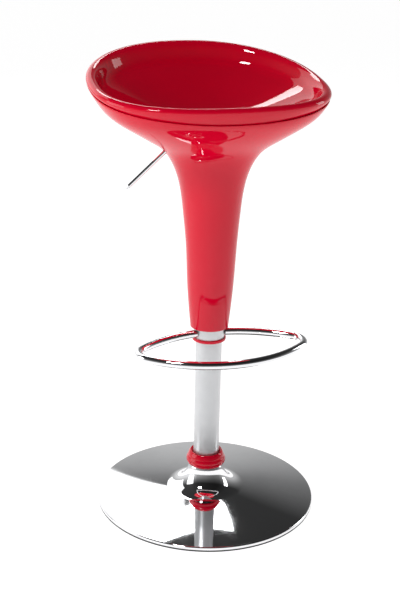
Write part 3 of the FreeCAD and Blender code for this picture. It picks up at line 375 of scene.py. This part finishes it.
# %% Floor ring
ring_out, ring_in = base_radius - 0.4, base_radius - 14.0
stand_out, stand_in = base_radius - sheet - 0.1, base_radius - sheet - 5.1
floor_ring = softened([
    (ring_in, 0, 0.6), (206.0, 0, 0.2), (206.6, 0.7, 0.2), (208.0, 0.7, 0.2), (208.6, 0, 0.2),
    (ring_out, 0, 1.0), (ring_out, rim_low, 0.4), (stand_out, rim_low, 0),
    (stand_out, rim_low + 2.5, 0.5), (stand_in, rim_low + 2.5, 0.5), (stand_in, rim_low, 0),
    (ring_in, rim_low, 0.5)], 4)
add_piece(turned("floor_ring_skin", floor_ring, RUBBER, 192), "base", "black_rubber", "floor_ring")

# %% [markdown]
# ## The collar
# A glossy plastic collar hides where column and base meet.  Its side bulges in two arcs, and its
# top is dished towards the tube, so it shows a bright upper lip with a shadow inside it.

# %% Base collar
collar_foot, collar_top, collar_wide = 75.0, 102.0, 36.8


def bulge(first, last, radius, steps=14):
    """Points of the arc of that radius from first to last, bulging to the right of its way."""
    first, last = np.array(first), np.array(last)
    chord = last - first
    half = np.linalg.norm(chord) / 2
    side = np.array((chord[1], -chord[0])) / (2 * half)
    centre = (first + last) / 2 - side * math.sqrt(radius ** 2 - half ** 2)
    start = math.atan2(*(first - centre)[::-1])
    sweep = 2 * math.asin(half / radius)
    return [tuple(centre + radius * np.array((math.cos(start + sweep * share),
                                              math.sin(start + sweep * share))))
            for share in np.linspace(0, 1, steps)]


foot = (collar_wide - 1.6, collar_foot)
waist = (collar_wide - 1.2, collar_top - 11)
shoulder = (collar_wide - 5.6, collar_top - 1.2)
crown = (collar_wide - 7.6, collar_top - 0.6)
collar = ([(25.05, 76.1), (34.1, 76.1), (34.1, collar_foot)] + bulge(foot, waist, 12)
          + bulge(waist, shoulder, 24)[1:] + bulge(shoulder, crown, 2, 6)[1:]
          + [(27.4, collar_top - 2.6), (25.6, collar_top - 4.1), (25.05, collar_top - 4.5)])
add_piece(turned("base_collar_skin", collar, RED_TRIM), "base", "red_gloss", "base_collar")

# %% [markdown]
# ## Column, sleeve and trim ring
# Column and sleeve are plain tubes with deburred ends.  Between the sleeve's end and the column
# sits a plastic bush, and its flange is the thin red ring that finishes the stem.

# %% Column, sleeve and guide bush
column_bore, column_radius, column_foot, column_top = 23.5, 25, 14.5, 430
sleeve_bore, sleeve_radius, sleeve_foot, sleeve_top = 27.5, 29.5, 343.8, 722
bush_bore, bush_flange, bush_foot, bush_top = 25.05, 32.3, 338.0, 371.8
tube = softened([(column_bore, column_foot, 0.3), (column_radius, column_foot, 0.3),
                 (column_radius, column_top, 0.3), (column_bore, column_top, 0.3)], 4)
add_piece(turned("column_skin", tube, SILVER), "base", "satin_silver", "column_tube")
sleeve = softened([(sleeve_bore, sleeve_foot, 0.3), (sleeve_radius, sleeve_foot, 0.4),
                   (sleeve_radius, sleeve_top, 0.3), (sleeve_bore, sleeve_top, 0.3)], 4)
add_piece(turned("sleeve_skin", sleeve, SILVER), "seat", "satin_silver", "stem_sleeve")
bush = softened([(bush_bore, bush_foot, 0.4), (bush_flange, bush_foot, 1.5),
                 (bush_flange, sleeve_foot, 1.5), (sleeve_bore, sleeve_foot, 0),
                 (sleeve_bore, bush_top, 0.3), (bush_bore, bush_top, 0.3)], 7)
add_piece(turned("guide_bush_skin", bush, RED_TRIM), "seat", "red_gloss", "guide_bush")

# %% [markdown]
# ## The footrest
# One chromed tube is bent into two long arcs that meet in tight corners.  Its shape follows a
# rule, so Geometry Nodes make it: Python works out the arcs' line, and a small tree sweeps a
# circle along it.  The tree keeps the tube's radius as a named input.

# %% The footrest's line
back_radius, front_radius, corner_radius = 226.0, 217.0, 32.0
back_y, front_y = -(8.0 + back_radius), front_radius - 167.0
to_back, to_front = back_radius - corner_radius, front_radius - corner_radius
corner_y = (to_back ** 2 - to_front ** 2 - back_y ** 2 + front_y ** 2) / (2 * (front_y - back_y))
corner_x = math.sqrt(to_front ** 2 - (corner_y - front_y) ** 2)
rest_z, rest_radius = 354.0, 7.5
turn_back = math.atan2(corner_y - back_y, corner_x)
turn_front = math.atan2(corner_y - front_y, corner_x)
start_turn = math.acos(28.5 / back_radius)
right_half = [(back_radius * math.cos(t), back_y + back_radius * math.sin(t))
              for t in np.linspace(start_turn, turn_back, 28)]
right_half += [(corner_x + corner_radius * math.cos(t), corner_y + corner_radius * math.sin(t))
               for t in np.linspace(turn_back, turn_front, 28)[1:]]
right_half += [(front_radius * math.cos(t), front_y + front_radius * math.sin(t))
               for t in np.linspace(turn_front, -math.pi / 2, 40)[1:]]
rest_line = right_half + [(-x, y) for x, y in right_half[-2::-1]]
rest_width = 2 * (max(x for x, y in rest_line) + rest_radius)
print("footrest: %d points, %.0f mm wide" % (len(rest_line), rest_width))


# %% A tree that sweeps a tube along a line
def new_tree(name, *sizes):
    """An empty Geometry Nodes tree with a geometry in and out, and named inputs for its sizes."""
    tree = bpy.data.node_groups.new(name, "GeometryNodeTree")
    tree.interface.new_socket("Geometry", in_out="INPUT", socket_type="NodeSocketGeometry")
    for label, kind in sizes:
        tree.interface.new_socket(label, in_out="INPUT", socket_type=kind)
    tree.interface.new_socket("Geometry", in_out="OUTPUT", socket_type="NodeSocketGeometry")
    return tree, tree.nodes.new("NodeGroupInput"), tree.nodes.new("NodeGroupOutput")


def wire(tree, *ends):
    for start, stop in ends:
        tree.links.new(start, stop)


def grown(name, source, tree, values):
    """The plain mesh that a tree makes from a source mesh, with its inputs set by name."""
    holder = bpy.data.objects.new(name + "_source", source)
    bpy.context.scene.collection.objects.link(holder)
    modifier = holder.modifiers.new(name, "NODES")
    modifier.node_group = tree
    for item in tree.interface.items_tree:
        if item.in_out == "INPUT" and item.name in values:
            modifier[item.identifier] = values[item.name]
    bpy.context.view_layer.update()
    made = holder.evaluated_get(bpy.context.evaluated_depsgraph_get())
    mesh = bpy.data.meshes.new_from_object(made)
    mesh.name = name
    bpy.data.objects.remove(holder)
    return mesh


tube_tree, tube_in, tube_out = new_tree("tube_along_line", ("Tube Radius", "NodeSocketFloat"),
                                        ("Material", "NodeSocketMaterial"))
to_curve = tube_tree.nodes.new("GeometryNodeMeshToCurve")
section = tube_tree.nodes.new("GeometryNodeCurvePrimitiveCircle")
section.inputs["Resolution"].default_value = 40
sweep = tube_tree.nodes.new("GeometryNodeCurveToMesh")
sweep.inputs["Fill Caps"].default_value = True
realize = tube_tree.nodes.new("GeometryNodeRealizeInstances")
paint = tube_tree.nodes.new("GeometryNodeSetMaterial")
wire(tube_tree, (tube_in.outputs["Geometry"], to_curve.inputs[0]),
     (to_curve.outputs[0], sweep.inputs["Curve"]),
     (tube_in.outputs["Tube Radius"], section.inputs["Radius"]),
     (section.outputs[0], sweep.inputs["Profile Curve"]),
     (sweep.outputs[0], realize.inputs[0]), (realize.outputs[0], paint.inputs["Geometry"]),
     (tube_in.outputs["Material"], paint.inputs["Material"]),
     (paint.outputs[0], tube_out.inputs[0]))

# %% Grow the footrest
line = bpy.data.meshes.new("footrest_line")
line.from_pydata([(x * MM, y * MM, rest_z * MM) for x, y in rest_line],
                 [(i, i + 1) for i in range(len(rest_line) - 1)], [])
rest_mesh = grown("footrest_skin", line, tube_tree, {"Tube Radius": rest_radius * MM,
                                                     "Material": CHROME_TUBE})


def outward(mesh, sharp=40):
    """Close a grown mesh's doubles and point its faces outwards."""
    shell = bmesh.new()
    shell.from_mesh(mesh)
    bmesh.ops.remove_doubles(shell, verts=shell.verts, dist=1e-7)
    bmesh.ops.recalc_face_normals(shell, faces=shell.faces)
    shell.to_mesh(mesh)
    shell.free()
    mesh.shade_smooth()
    mesh.set_sharp_from_angle(angle=math.radians(sharp))
    return mesh


add_piece(outward(rest_mesh), "seat", "chrome", "footrest_ring")

# %% [markdown]
# ## Bolts, screws and bearing balls
# These are the stool's repeated pieces.  One tree puts a copy of a small master mesh on every
# point it is given, so the same tree serves the flange bolts under the base, the screws in the
# seat plate and the balls of the swivel bearing.

# %% A tree that copies a master onto points
copy_tree, copy_in, copy_out = new_tree("copy_onto_points", ("Master", "NodeSocketObject"),
                                        ("Material", "NodeSocketMaterial"))
master_info = copy_tree.nodes.new("GeometryNodeObjectInfo")
to_points = copy_tree.nodes.new("GeometryNodeMeshToPoints")
scatter = copy_tree.nodes.new("GeometryNodeInstanceOnPoints")
real = copy_tree.nodes.new("GeometryNodeRealizeInstances")
coat = copy_tree.nodes.new("GeometryNodeSetMaterial")
wire(copy_tree, (copy_in.outputs["Geometry"], to_points.inputs[0]),
     (to_points.outputs[0], scatter.inputs["Points"]),
     (copy_in.outputs["Master"], master_info.inputs["Object"]),
     (master_info.outputs["Geometry"], scatter.inputs["Instance"]),
     (scatter.outputs[0], real.inputs[0]), (real.outputs[0], coat.inputs["Geometry"]),
     (copy_in.outputs["Material"], coat.inputs["Material"]), (coat.outputs[0], copy_out.inputs[0]))


def copies(name, master_mesh, places, material):
    """The master mesh repeated at every place, as one plain mesh."""
    master = bpy.data.objects.new(name + "_master", master_mesh)
    bpy.context.scene.collection.objects.link(master)
    points = bpy.data.meshes.new(name + "_points")
    points.from_pydata([tuple(MM * value for value in place) for place in places], [], [])
    mesh = grown(name, points, copy_tree, {"Master": master, "Material": material})
    bpy.data.objects.remove(master)
    return outward(mesh, 30)


# %% Flange bolts, seat screws and balls
def fastener(name, head_outline, sides, shank, material):
    """A head of so many sides below z = 0, and a round shank above it."""
    step = 48 // sides
    rows = []
    for radius, height in head_outline:
        row = []
        for index in range(48):
            within = math.radians((index % step) * 360 / 48 - 180 / sides)
            flat = 1 / math.cos(within) if sides < 48 else 1
            reach = radius * flat * (math.cos(math.pi / sides) if sides < 48 else 1)
            turn = 2 * math.pi * index / 48
            row.append((reach * math.cos(turn), reach * math.sin(turn), height))
        rows.append(row)
    for radius, height in shank:
        rows.append([(radius * math.cos(2 * math.pi * i / 48), radius * math.sin(2 * math.pi * i / 48),
                      height) for i in range(48)])
    return closed_mesh(name, rows, material, "caps", 30)


bolt_circle, plate_underside = 45, 3.5
ball_circle, ball_radius, ball_height = 10.5, 2, 44.02
bolt = fastener("bolt_master", [(6.2, -2.5), (7.3, -2.0), (7.5, -1.7), (7.5, 0)], 6,
                [(4, 0), (4, 18.5), (3.5, 19)], ZINC)
bolt_places = [(bolt_circle * math.cos(math.radians(t)), bolt_circle * math.sin(math.radians(t)),
                plate_underside)
               for t in (45, 135, 225, 315)]
add_piece(copies("flange_bolts_skin", bolt, bolt_places, ZINC), "base", "zinc_steel", "flange_bolts")
screw = fastener("screw_master", [(1.2, -1.6), (1.9, -3.3), (4.3, -3.5), (5.5, -2.2), (5.5, 0)], 48,
                 [(2.6, 0), (2.6, 13.4), (2.1, 14)], ZINC)
screw_places = [(x, y, sleeve_top) for y in (-22, 46) for x in (-38, 38)]
add_piece(copies("seat_screws_skin", screw, screw_places, ZINC), "seat", "zinc_steel", "seat_screws")
ball_rows = [[(ball_radius * math.sin(p) * math.cos(t), ball_radius * math.sin(p) * math.sin(t),
               ball_radius * math.cos(p))
              for t in np.linspace(0, 2 * math.pi, 24, endpoint=False)]
             for p in np.linspace(0, math.pi, 13)]
ball = closed_mesh("ball_master", ball_rows, GROUND, "open")
ball_places = [(ball_circle * math.cos(t), ball_circle * math.sin(t), ball_height)
               for t in np.linspace(0, 2 * math.pi, 12, endpoint=False)]
add_piece(copies("bearing_balls_skin", ball, ball_places, GROUND), "base", "ground_steel",
          "bearing_balls")

# %% [markdown]
# ## The release lever
# The lever is a bent rod that comes down out of the stem at the sitter's right, with its end
# ground to a blunt point.  A list of stations along the rod, each with its own radius, describes
# both the bend and the point.

# %% Release lever
lever_z, bend_at, lever_bend, tip_x = 733.0, 61.5, 18.0, 163.0
droop = math.radians(42.4)
tangent = lever_bend * math.tan(droop / 2)
stations = [(10.0, lever_z, 3.4), (9.4, lever_z, 4.0), (-15.0, lever_z, 4.0)]
for turn in np.linspace(0, droop, 14):
    stations.append((-(bend_at - tangent) - lever_bend * math.sin(turn),
                     lever_z - lever_bend * (1 - math.cos(turn)), 4.0))
tip_z = lever_z - (tip_x - bend_at) * math.tan(droop)
along = np.array((-math.cos(droop), -math.sin(droop)))
for back, radius in ((9.0, 4.0), (8.4, 3.93), (6.0, 3.05), (3.0, 1.85), (0.6, 0.95), (0.0, 0.6)):
    x, z = np.array((-tip_x, tip_z)) - along * back
    stations.append((x, z, radius))
rod_rows = []
for index, (x, z, radius) in enumerate(stations):
    before, after = stations[max(index - 1, 0)], stations[min(index + 1, len(stations) - 1)]
    way = np.array((after[0] - before[0], after[1] - before[1]))
    way /= np.linalg.norm(way)
    rod_rows.append([(x - way[1] * radius * math.cos(t), radius * math.sin(t),
                      z + way[0] * radius * math.cos(t))
                     for t in np.linspace(0, 2 * math.pi, 40, endpoint=False)])
add_piece(closed_mesh("lever_skin", rod_rows, CHROME_TUBE, "caps", 35), "lever", "chrome",
          "release_lever")

# %% [markdown]
# ## The seat's form
# Seat pan and stem shell are two mouldings that share one form.  Seen from above, the rim is a
# rounded square, squarer in front, and it climbs towards the back.  Levels of that outline,
# shrunk and lowered, lead down the outside into the stem and down the inside into the bowl.
# A smooth curve through the levels at every angle gives the skin, which is how such a form is
# faired in a styling studio, and it keeps the gloss free of ripples.

# %% The rim and the levels below it
AROUND = 256
ANGLES = np.linspace(0, 2 * math.pi, AROUND, endpoint=False) + math.pi / AROUND
half_width, to_front_edge, to_back_edge, setback = 218.6, 186.0, 206.5, 44.5
rim_front, rim_side, rim_back = 807.0, 824.0, 865.0
neck_radius, neck_height, bowl_floor = 45.0, 532.0, 747.0
roll_width, roll_height = 9.5, 8.0
seam_depth, seam_dip, seam_side, seam_front = 14.0, 16.0, 0.98, 0.952
setback_growth, tilt_growth = 0.75, 0.5
shell_wall, pan_wall = 3.0, 3.5
FRONT = np.sin(ANGLES) < 0


def rim_plan():
    reach = np.where(FRONT, to_front_edge, to_back_edge)
    power = np.where(FRONT, 2.5, 2.2)
    size = (np.abs(np.cos(ANGLES) / half_width) ** power
            + np.abs(np.sin(ANGLES) / reach) ** power) ** (-1 / power)
    return size * np.cos(ANGLES), size * np.sin(ANGLES)


RIM_X, RIM_Y = rim_plan()
RIM_Z = (rim_front * RIM_Y * (RIM_Y - to_back_edge) / (to_front_edge * (to_front_edge + to_back_edge))
         + rim_side * (RIM_Y + to_front_edge) * (to_back_edge - RIM_Y) / (to_front_edge * to_back_edge)
         + rim_back * RIM_Y * (RIM_Y + to_front_edge) / (to_back_edge * (to_front_edge + to_back_edge)))


def level(x, y, z):
    return np.stack([x, y, z + 0 * x], -1)


def stem_level(radius, height):
    return level(radius * np.cos(ANGLES), radius * np.sin(ANGLES), height)


def flare_level(share, rise):
    """A line round the flare, which leans back and tilts with the rim more as it widens."""
    neck = neck_radius * (1 - share)
    shift = setback * share ** setback_growth
    top = rim_side + (RIM_Z - rim_side) * share ** tilt_growth
    return level(RIM_X * share + neck * np.cos(ANGLES), RIM_Y * share + neck * np.sin(ANGLES) + shift,
                 neck_height + (top - neck_height) * rise)


def seam_level(lift):
    dip = np.maximum(0, -np.sin(ANGLES)) ** 2
    share = seam_side + (seam_front - seam_side) * dip
    return level(RIM_X * share, RIM_Y * share + setback, RIM_Z - seam_depth - seam_dip * dip + lift)


def bowl_level(share, climb):
    return level(RIM_X * share, RIM_Y * share + setback, bowl_floor + (RIM_Z - bowl_floor) * climb)


def roll_level(turn):
    inset = roll_width * (1 - math.cos(math.radians(turn)))
    share = 1 - inset / np.hypot(RIM_X, RIM_Y)
    drop = roll_height * (1 - math.sin(math.radians(turn)))
    return level(RIM_X * share, RIM_Y * share + setback, RIM_Z - drop)


print("rim: %.0f mm wide, %.0f to %.0f mm high" % (2 * half_width, RIM_Z.min(), RIM_Z.max()))


# %% Fairing through the levels
def faired(levels, step=3.0):
    """Rows about step apart along the smooth curve through the levels, at every angle."""
    levels = np.asarray(levels)
    gaps = np.linalg.norm(np.diff(levels, axis=0), axis=2).mean(1)
    stops = np.concatenate([[0], np.cumsum(gaps)])
    count = len(stops)
    system, pull = np.eye(count), np.zeros_like(levels)
    for i in range(1, count - 1):
        before, after = gaps[i - 1], gaps[i]
        system[i, i - 1:i + 2] = before, 2 * (before + after), after
        pull[i] = 6 * ((levels[i + 1] - levels[i]) / after - (levels[i] - levels[i - 1]) / before)
    curve = np.linalg.solve(system, pull.reshape(count, -1)).reshape(levels.shape)
    rows = []
    for t in np.linspace(0, stops[-1], int(stops[-1] / step) + 1):
        i = min(np.searchsorted(stops, t, side="right") - 1, count - 2)
        gap = gaps[i]
        a, b = (stops[i + 1] - t) / gap, (t - stops[i]) / gap
        rows.append(a * levels[i] + b * levels[i + 1]
                    + ((a ** 3 - a) * curve[i] + (b ** 3 - b) * curve[i + 1]) * gap ** 2 / 6)
    return rows


def with_wall(rows, wall, edge):
    """Close a skin into a wall: round its last edge, then run back along the inside."""
    rows = np.asarray(rows)
    along = np.roll(rows, -1, 1) - np.roll(rows, 1, 1)
    across = np.gradient(rows, axis=0)
    normal = np.cross(across, along)
    length = np.linalg.norm(normal, axis=2, keepdims=True)
    normal = np.where(length > 1e-9, normal / np.maximum(length, 1e-9), (0, 0, -1.0 if wall > 0 else 1))
    normal[-1, :, 2] = 0
    normal[-1] /= np.linalg.norm(normal[-1], axis=1, keepdims=True)
    way = np.sign(across[-1][:, 2:]) * (0, 0, 1)
    turns = np.radians((22.5, 45, 67.5, 90))
    inward = normal[-1] * np.sign(wall)
    outer_edge = [rows[-1] + way * edge * math.sin(t) + inward * edge * (1 - math.cos(t)) for t in turns]
    inner = rows + normal * wall
    inner_edge = [inner[-1] + way * edge * math.sin(t) - inward * edge * (1 - math.cos(t))
                  for t in turns[::-1]]
    return list(rows) + outer_edge + inner_edge + list(inner[::-1])


# %% [markdown]
# ## Stem shell
# The long moulding hides sleeve and gas spring and flares out to carry the seat.  On its right
# hand side a slot lets the lever through, cut with a Boolean, since a slot that runs square to the
# lever and not to the skin has no simple place among the levels.

# %% Stem shell
FLARE = [(0.0, 0.0), (0.03, 0.197), (0.075, 0.385), (0.15, 0.512), (0.27, 0.612), (0.45, 0.688),
         (0.68, 0.772), (0.88, 0.863)]
EDGE = 0.55
stem_levels = [stem_level(33.2, 365.5), stem_level(40.6, (365.5 + neck_height) / 2)]
stem_levels += [flare_level(share, rise) for share, rise in FLARE]
stem_levels.append(seam_level(-EDGE))
stem_rows = with_wall(faired(stem_levels), -shell_wall, EDGE)
stem_mesh = closed_mesh("stem_shell_skin", stem_rows, RED_SEAT, "loop", 50)
print("stem shell:", len(stem_rows), "rows of points")


# %% Cut the lever's slot
def cutter(name, low, high):
    """A box-shaped tool between two corners, turned to the lever's droop at its bend."""
    tool = bmesh.new()
    bmesh.ops.create_cube(tool, size=1)
    size = np.array(high) - np.array(low)
    middle = (np.array(high) + np.array(low)) / 2
    for vert in tool.verts:
        vert.co = Vector((np.array(vert.co) * size + middle) * MM)
    bmesh.ops.bevel(tool, geom=[e for e in tool.edges if abs((e.verts[0].co - e.verts[1].co).x) > 0.05],
                    offset=3 * MM, segments=6, profile=0.5, affect="EDGES")
    place = Matrix.Translation((-bend_at * MM, 0, lever_z * MM)) @ Matrix.Rotation(-droop, 4, "Y")
    tool.transform(place)
    mesh = bpy.data.meshes.new(name)
    tool.to_mesh(mesh)
    tool.free()
    return mesh


swing = (tip_x - 35) * math.radians(5) / 2
tool = bpy.data.objects.new("slot_tool", cutter("slot_tool", (-tip_x, -5, -5), (0, 5, 5 + swing)))
bpy.context.scene.collection.objects.link(tool)
stem = bpy.data.objects.new("stem_work", stem_mesh)
bpy.context.scene.collection.objects.link(stem)
cut = stem.modifiers.new("slot", "BOOLEAN")
cut.object = tool
cut.solver = "EXACT"
cut.operation = "DIFFERENCE"
bpy.context.view_layer.update()
slotted = bpy.data.meshes.new_from_object(stem.evaluated_get(bpy.context.evaluated_depsgraph_get()))
slotted.name = "stem_shell_skin"
bpy.data.objects.remove(stem)
bpy.data.objects.remove(tool)
slotted.set_sharp_from_angle(angle=math.radians(50))
add_piece(slotted, "seat", "red_gloss", "stem_shell")

# %% [markdown]
# ## Seat pan
# The pan is the bowl one sits in.  Its wall comes up from the flat floor, rolls over a broad
# rounded lip and ends a finger's width below it, where it meets the stem shell in a fine seam.
# Both edges of that seam are rounded, as mouldings are, so that it reads as a line.

# %% Seat pan
seam_line = 0.1
BOWL = [(0.12, 0.0), (0.3, 0.03), (0.48, 0.16), (0.66, 0.38), (0.78, 0.55), (0.87, 0.72)]
pan_levels = [bowl_level(0.0, 0.0)] + [bowl_level(share, climb) for share, climb in BOWL]
pan_levels += [roll_level(turn) for turn in (150, 135, 120, 105, 90, 75, 60, 45, 30, 15, 0)]
pan_levels.append(seam_level(seam_line + EDGE))
pan_rows = with_wall(faired(pan_levels, 2.0), -pan_wall, EDGE)
pan_mesh = closed_mesh("seat_pan_skin", pan_rows, RED_SEAT, "open", 50)
add_piece(pan_mesh, "seat", "red_gloss", "seat_pan")

# %% [markdown]
# ## Studio
# A pale floor that glows a little runs far past the view, as a white studio's lit sweep does.
# Gloss shows whatever is around it.  So the world is bright near the horizon and dark overhead,
# which keeps the bowl deep, and darker in front and to one side.  Five soft lights add the
# highlights, and the widest stands at the back left, where the flat of the base mirrors it.

# %% Floor and world
floor_finish = Finish("pale_floor")
floor_tone = floor_finish.blend(floor_finish.noise(3.0, 2.0), (0.40, 0.40, 0.40), (0.43, 0.43, 0.43))
floor_material = floor_finish.surface(floor_tone, 0.6 + floor_finish.noise(30.0) * 0.1,
                                      **{"Emission Color": (0.93, 0.93, 0.93, 1),
                                         "Emission Strength": 1.0})
floor_shape = bmesh.new()
bmesh.ops.create_circle(floor_shape, cap_ends=True, segments=96, radius=40)
floor = bpy.data.objects.new("floor", to_mesh("floor", floor_shape, floor_material))
bpy.context.scene.collection.objects.link(floor)

world = bpy.data.worlds.new("studio")
bpy.context.scene.world = world
world.use_nodes = True
world_tree = world.node_tree
background = world_tree.nodes["Background"]
direction = world_tree.nodes.new("ShaderNodeTexCoord")
split = world_tree.nodes.new("ShaderNodeSeparateXYZ")
wire(world_tree, (direction.outputs["Generated"], split.inputs[0]))


def ramp(source, stops):
    """Grey tones along one axis of the view's direction, from -1 to 1."""
    spread = world_tree.nodes.new("ShaderNodeMath")
    spread.operation = "MULTIPLY_ADD"
    spread.inputs[1].default_value = 0.5
    spread.inputs[2].default_value = 0.5
    tones = world_tree.nodes.new("ShaderNodeValToRGB")
    while len(tones.color_ramp.elements) < len(stops):
        tones.color_ramp.elements.new(0.5)
    for element, (at, tone) in zip(tones.color_ramp.elements, stops):
        element.position = 0.5 + at / 2
        element.color = (tone, tone, tone, 1)
    wire(world_tree, (split.outputs[source], spread.inputs[0]), (spread.outputs[0], tones.inputs[0]))
    return tones


def product(first, second):
    both = world_tree.nodes.new("ShaderNodeVectorMath")
    both.operation = "MULTIPLY"
    wire(world_tree, (first.outputs[0], both.inputs[0]), (second.outputs[0], both.inputs[1]))
    return both


height_tones = ramp("Z", [(-0.2, 1.0), (0.1, 0.95), (0.38, 0.35), (0.6, 0.06), (1.0, 0.04)])
depth_tones = ramp("Y", [(-1.0, 0.25), (-0.4, 0.4), (0.1, 1.0), (1.0, 1.0)])
side_tones = ramp("X", [(-1.0, 1.0), (-0.2, 0.9), (0.5, 0.55), (1.0, 0.5)])
tones = product(product(height_tones, depth_tones), side_tones)
wire(world_tree, (tones.outputs[0], background.inputs["Color"]))
background.inputs["Strength"].default_value = 1.0


# %% Lights
def softbox(name, place, target, width, height, power):
    light = bpy.data.lights.new(name, "AREA")
    light.shape = "RECTANGLE"
    light.size = width
    light.size_y = height
    light.energy = power
    lamp = bpy.data.objects.new(name, light)
    bpy.context.scene.collection.objects.link(lamp)
    lamp.location = place
    lamp.rotation_euler = (Vector(target) - Vector(place)).to_track_quat("-Z", "Y").to_euler()
    return lamp


SEAT = (0, 0.04, 0.8)
softbox("key", (-1.3, -1.1, 2.5), SEAT, 0.45, 0.40, 26)
softbox("overhead", (0.2, 1.9, 2.2), SEAT, 1.4, 0.3, 10)
softbox("left_wall", (-2.4, 0.5, 1.0), (0, 0, 0.6), 1.4, 1.6, 14)
softbox("back_left", (-1.0, 3.0, 2.1), (0, 0, 0), 2.8, 2.3, 26)
softbox("right_wall", (2.3, 0.2, 1.0), (0, 0, 0.5), 0.6, 1.3, 8)
print("world and 5 softboxes")

# %% [markdown]
# ## Camera
# The camera looks down at the stool from in front and a little to its right hand side, from a
# standing person's chin height, through a fairly long lens.

# %% Camera
camera_data = bpy.data.cameras.new("camera")
camera = bpy.data.objects.new("camera", camera_data)
bpy.context.scene.collection.objects.link(camera)
camera_data.lens = 72
camera_data.sensor_width = 36
camera_data.clip_end = 100
distance, eye_height, side_turn = 2.1207, 1.2054, math.radians(17.3)
pitch, yaw, roll = 0.3566, -0.0088, 0.02285
forward = Vector((math.sin(yaw) * math.cos(pitch), math.cos(yaw) * math.cos(pitch), -math.sin(pitch)))
level_right = Vector((math.cos(yaw), -math.sin(yaw), 0))
level_up = level_right.cross(forward)
right = level_right * math.cos(roll) + level_up * math.sin(roll)
up = level_up * math.cos(roll) - level_right * math.sin(roll)
axes = Matrix((right, up, -forward)).transposed()
spin = Matrix.Rotation(-side_turn, 3, "Z")
camera.rotation_euler = (spin @ axes).to_euler()
camera.location = spin @ Vector((0, -distance, eye_height))
bpy.context.scene.camera = camera
bpy.context.scene.view_settings.view_transform = "Standard"
print("camera at", [round(value, 3) for value in camera.location])
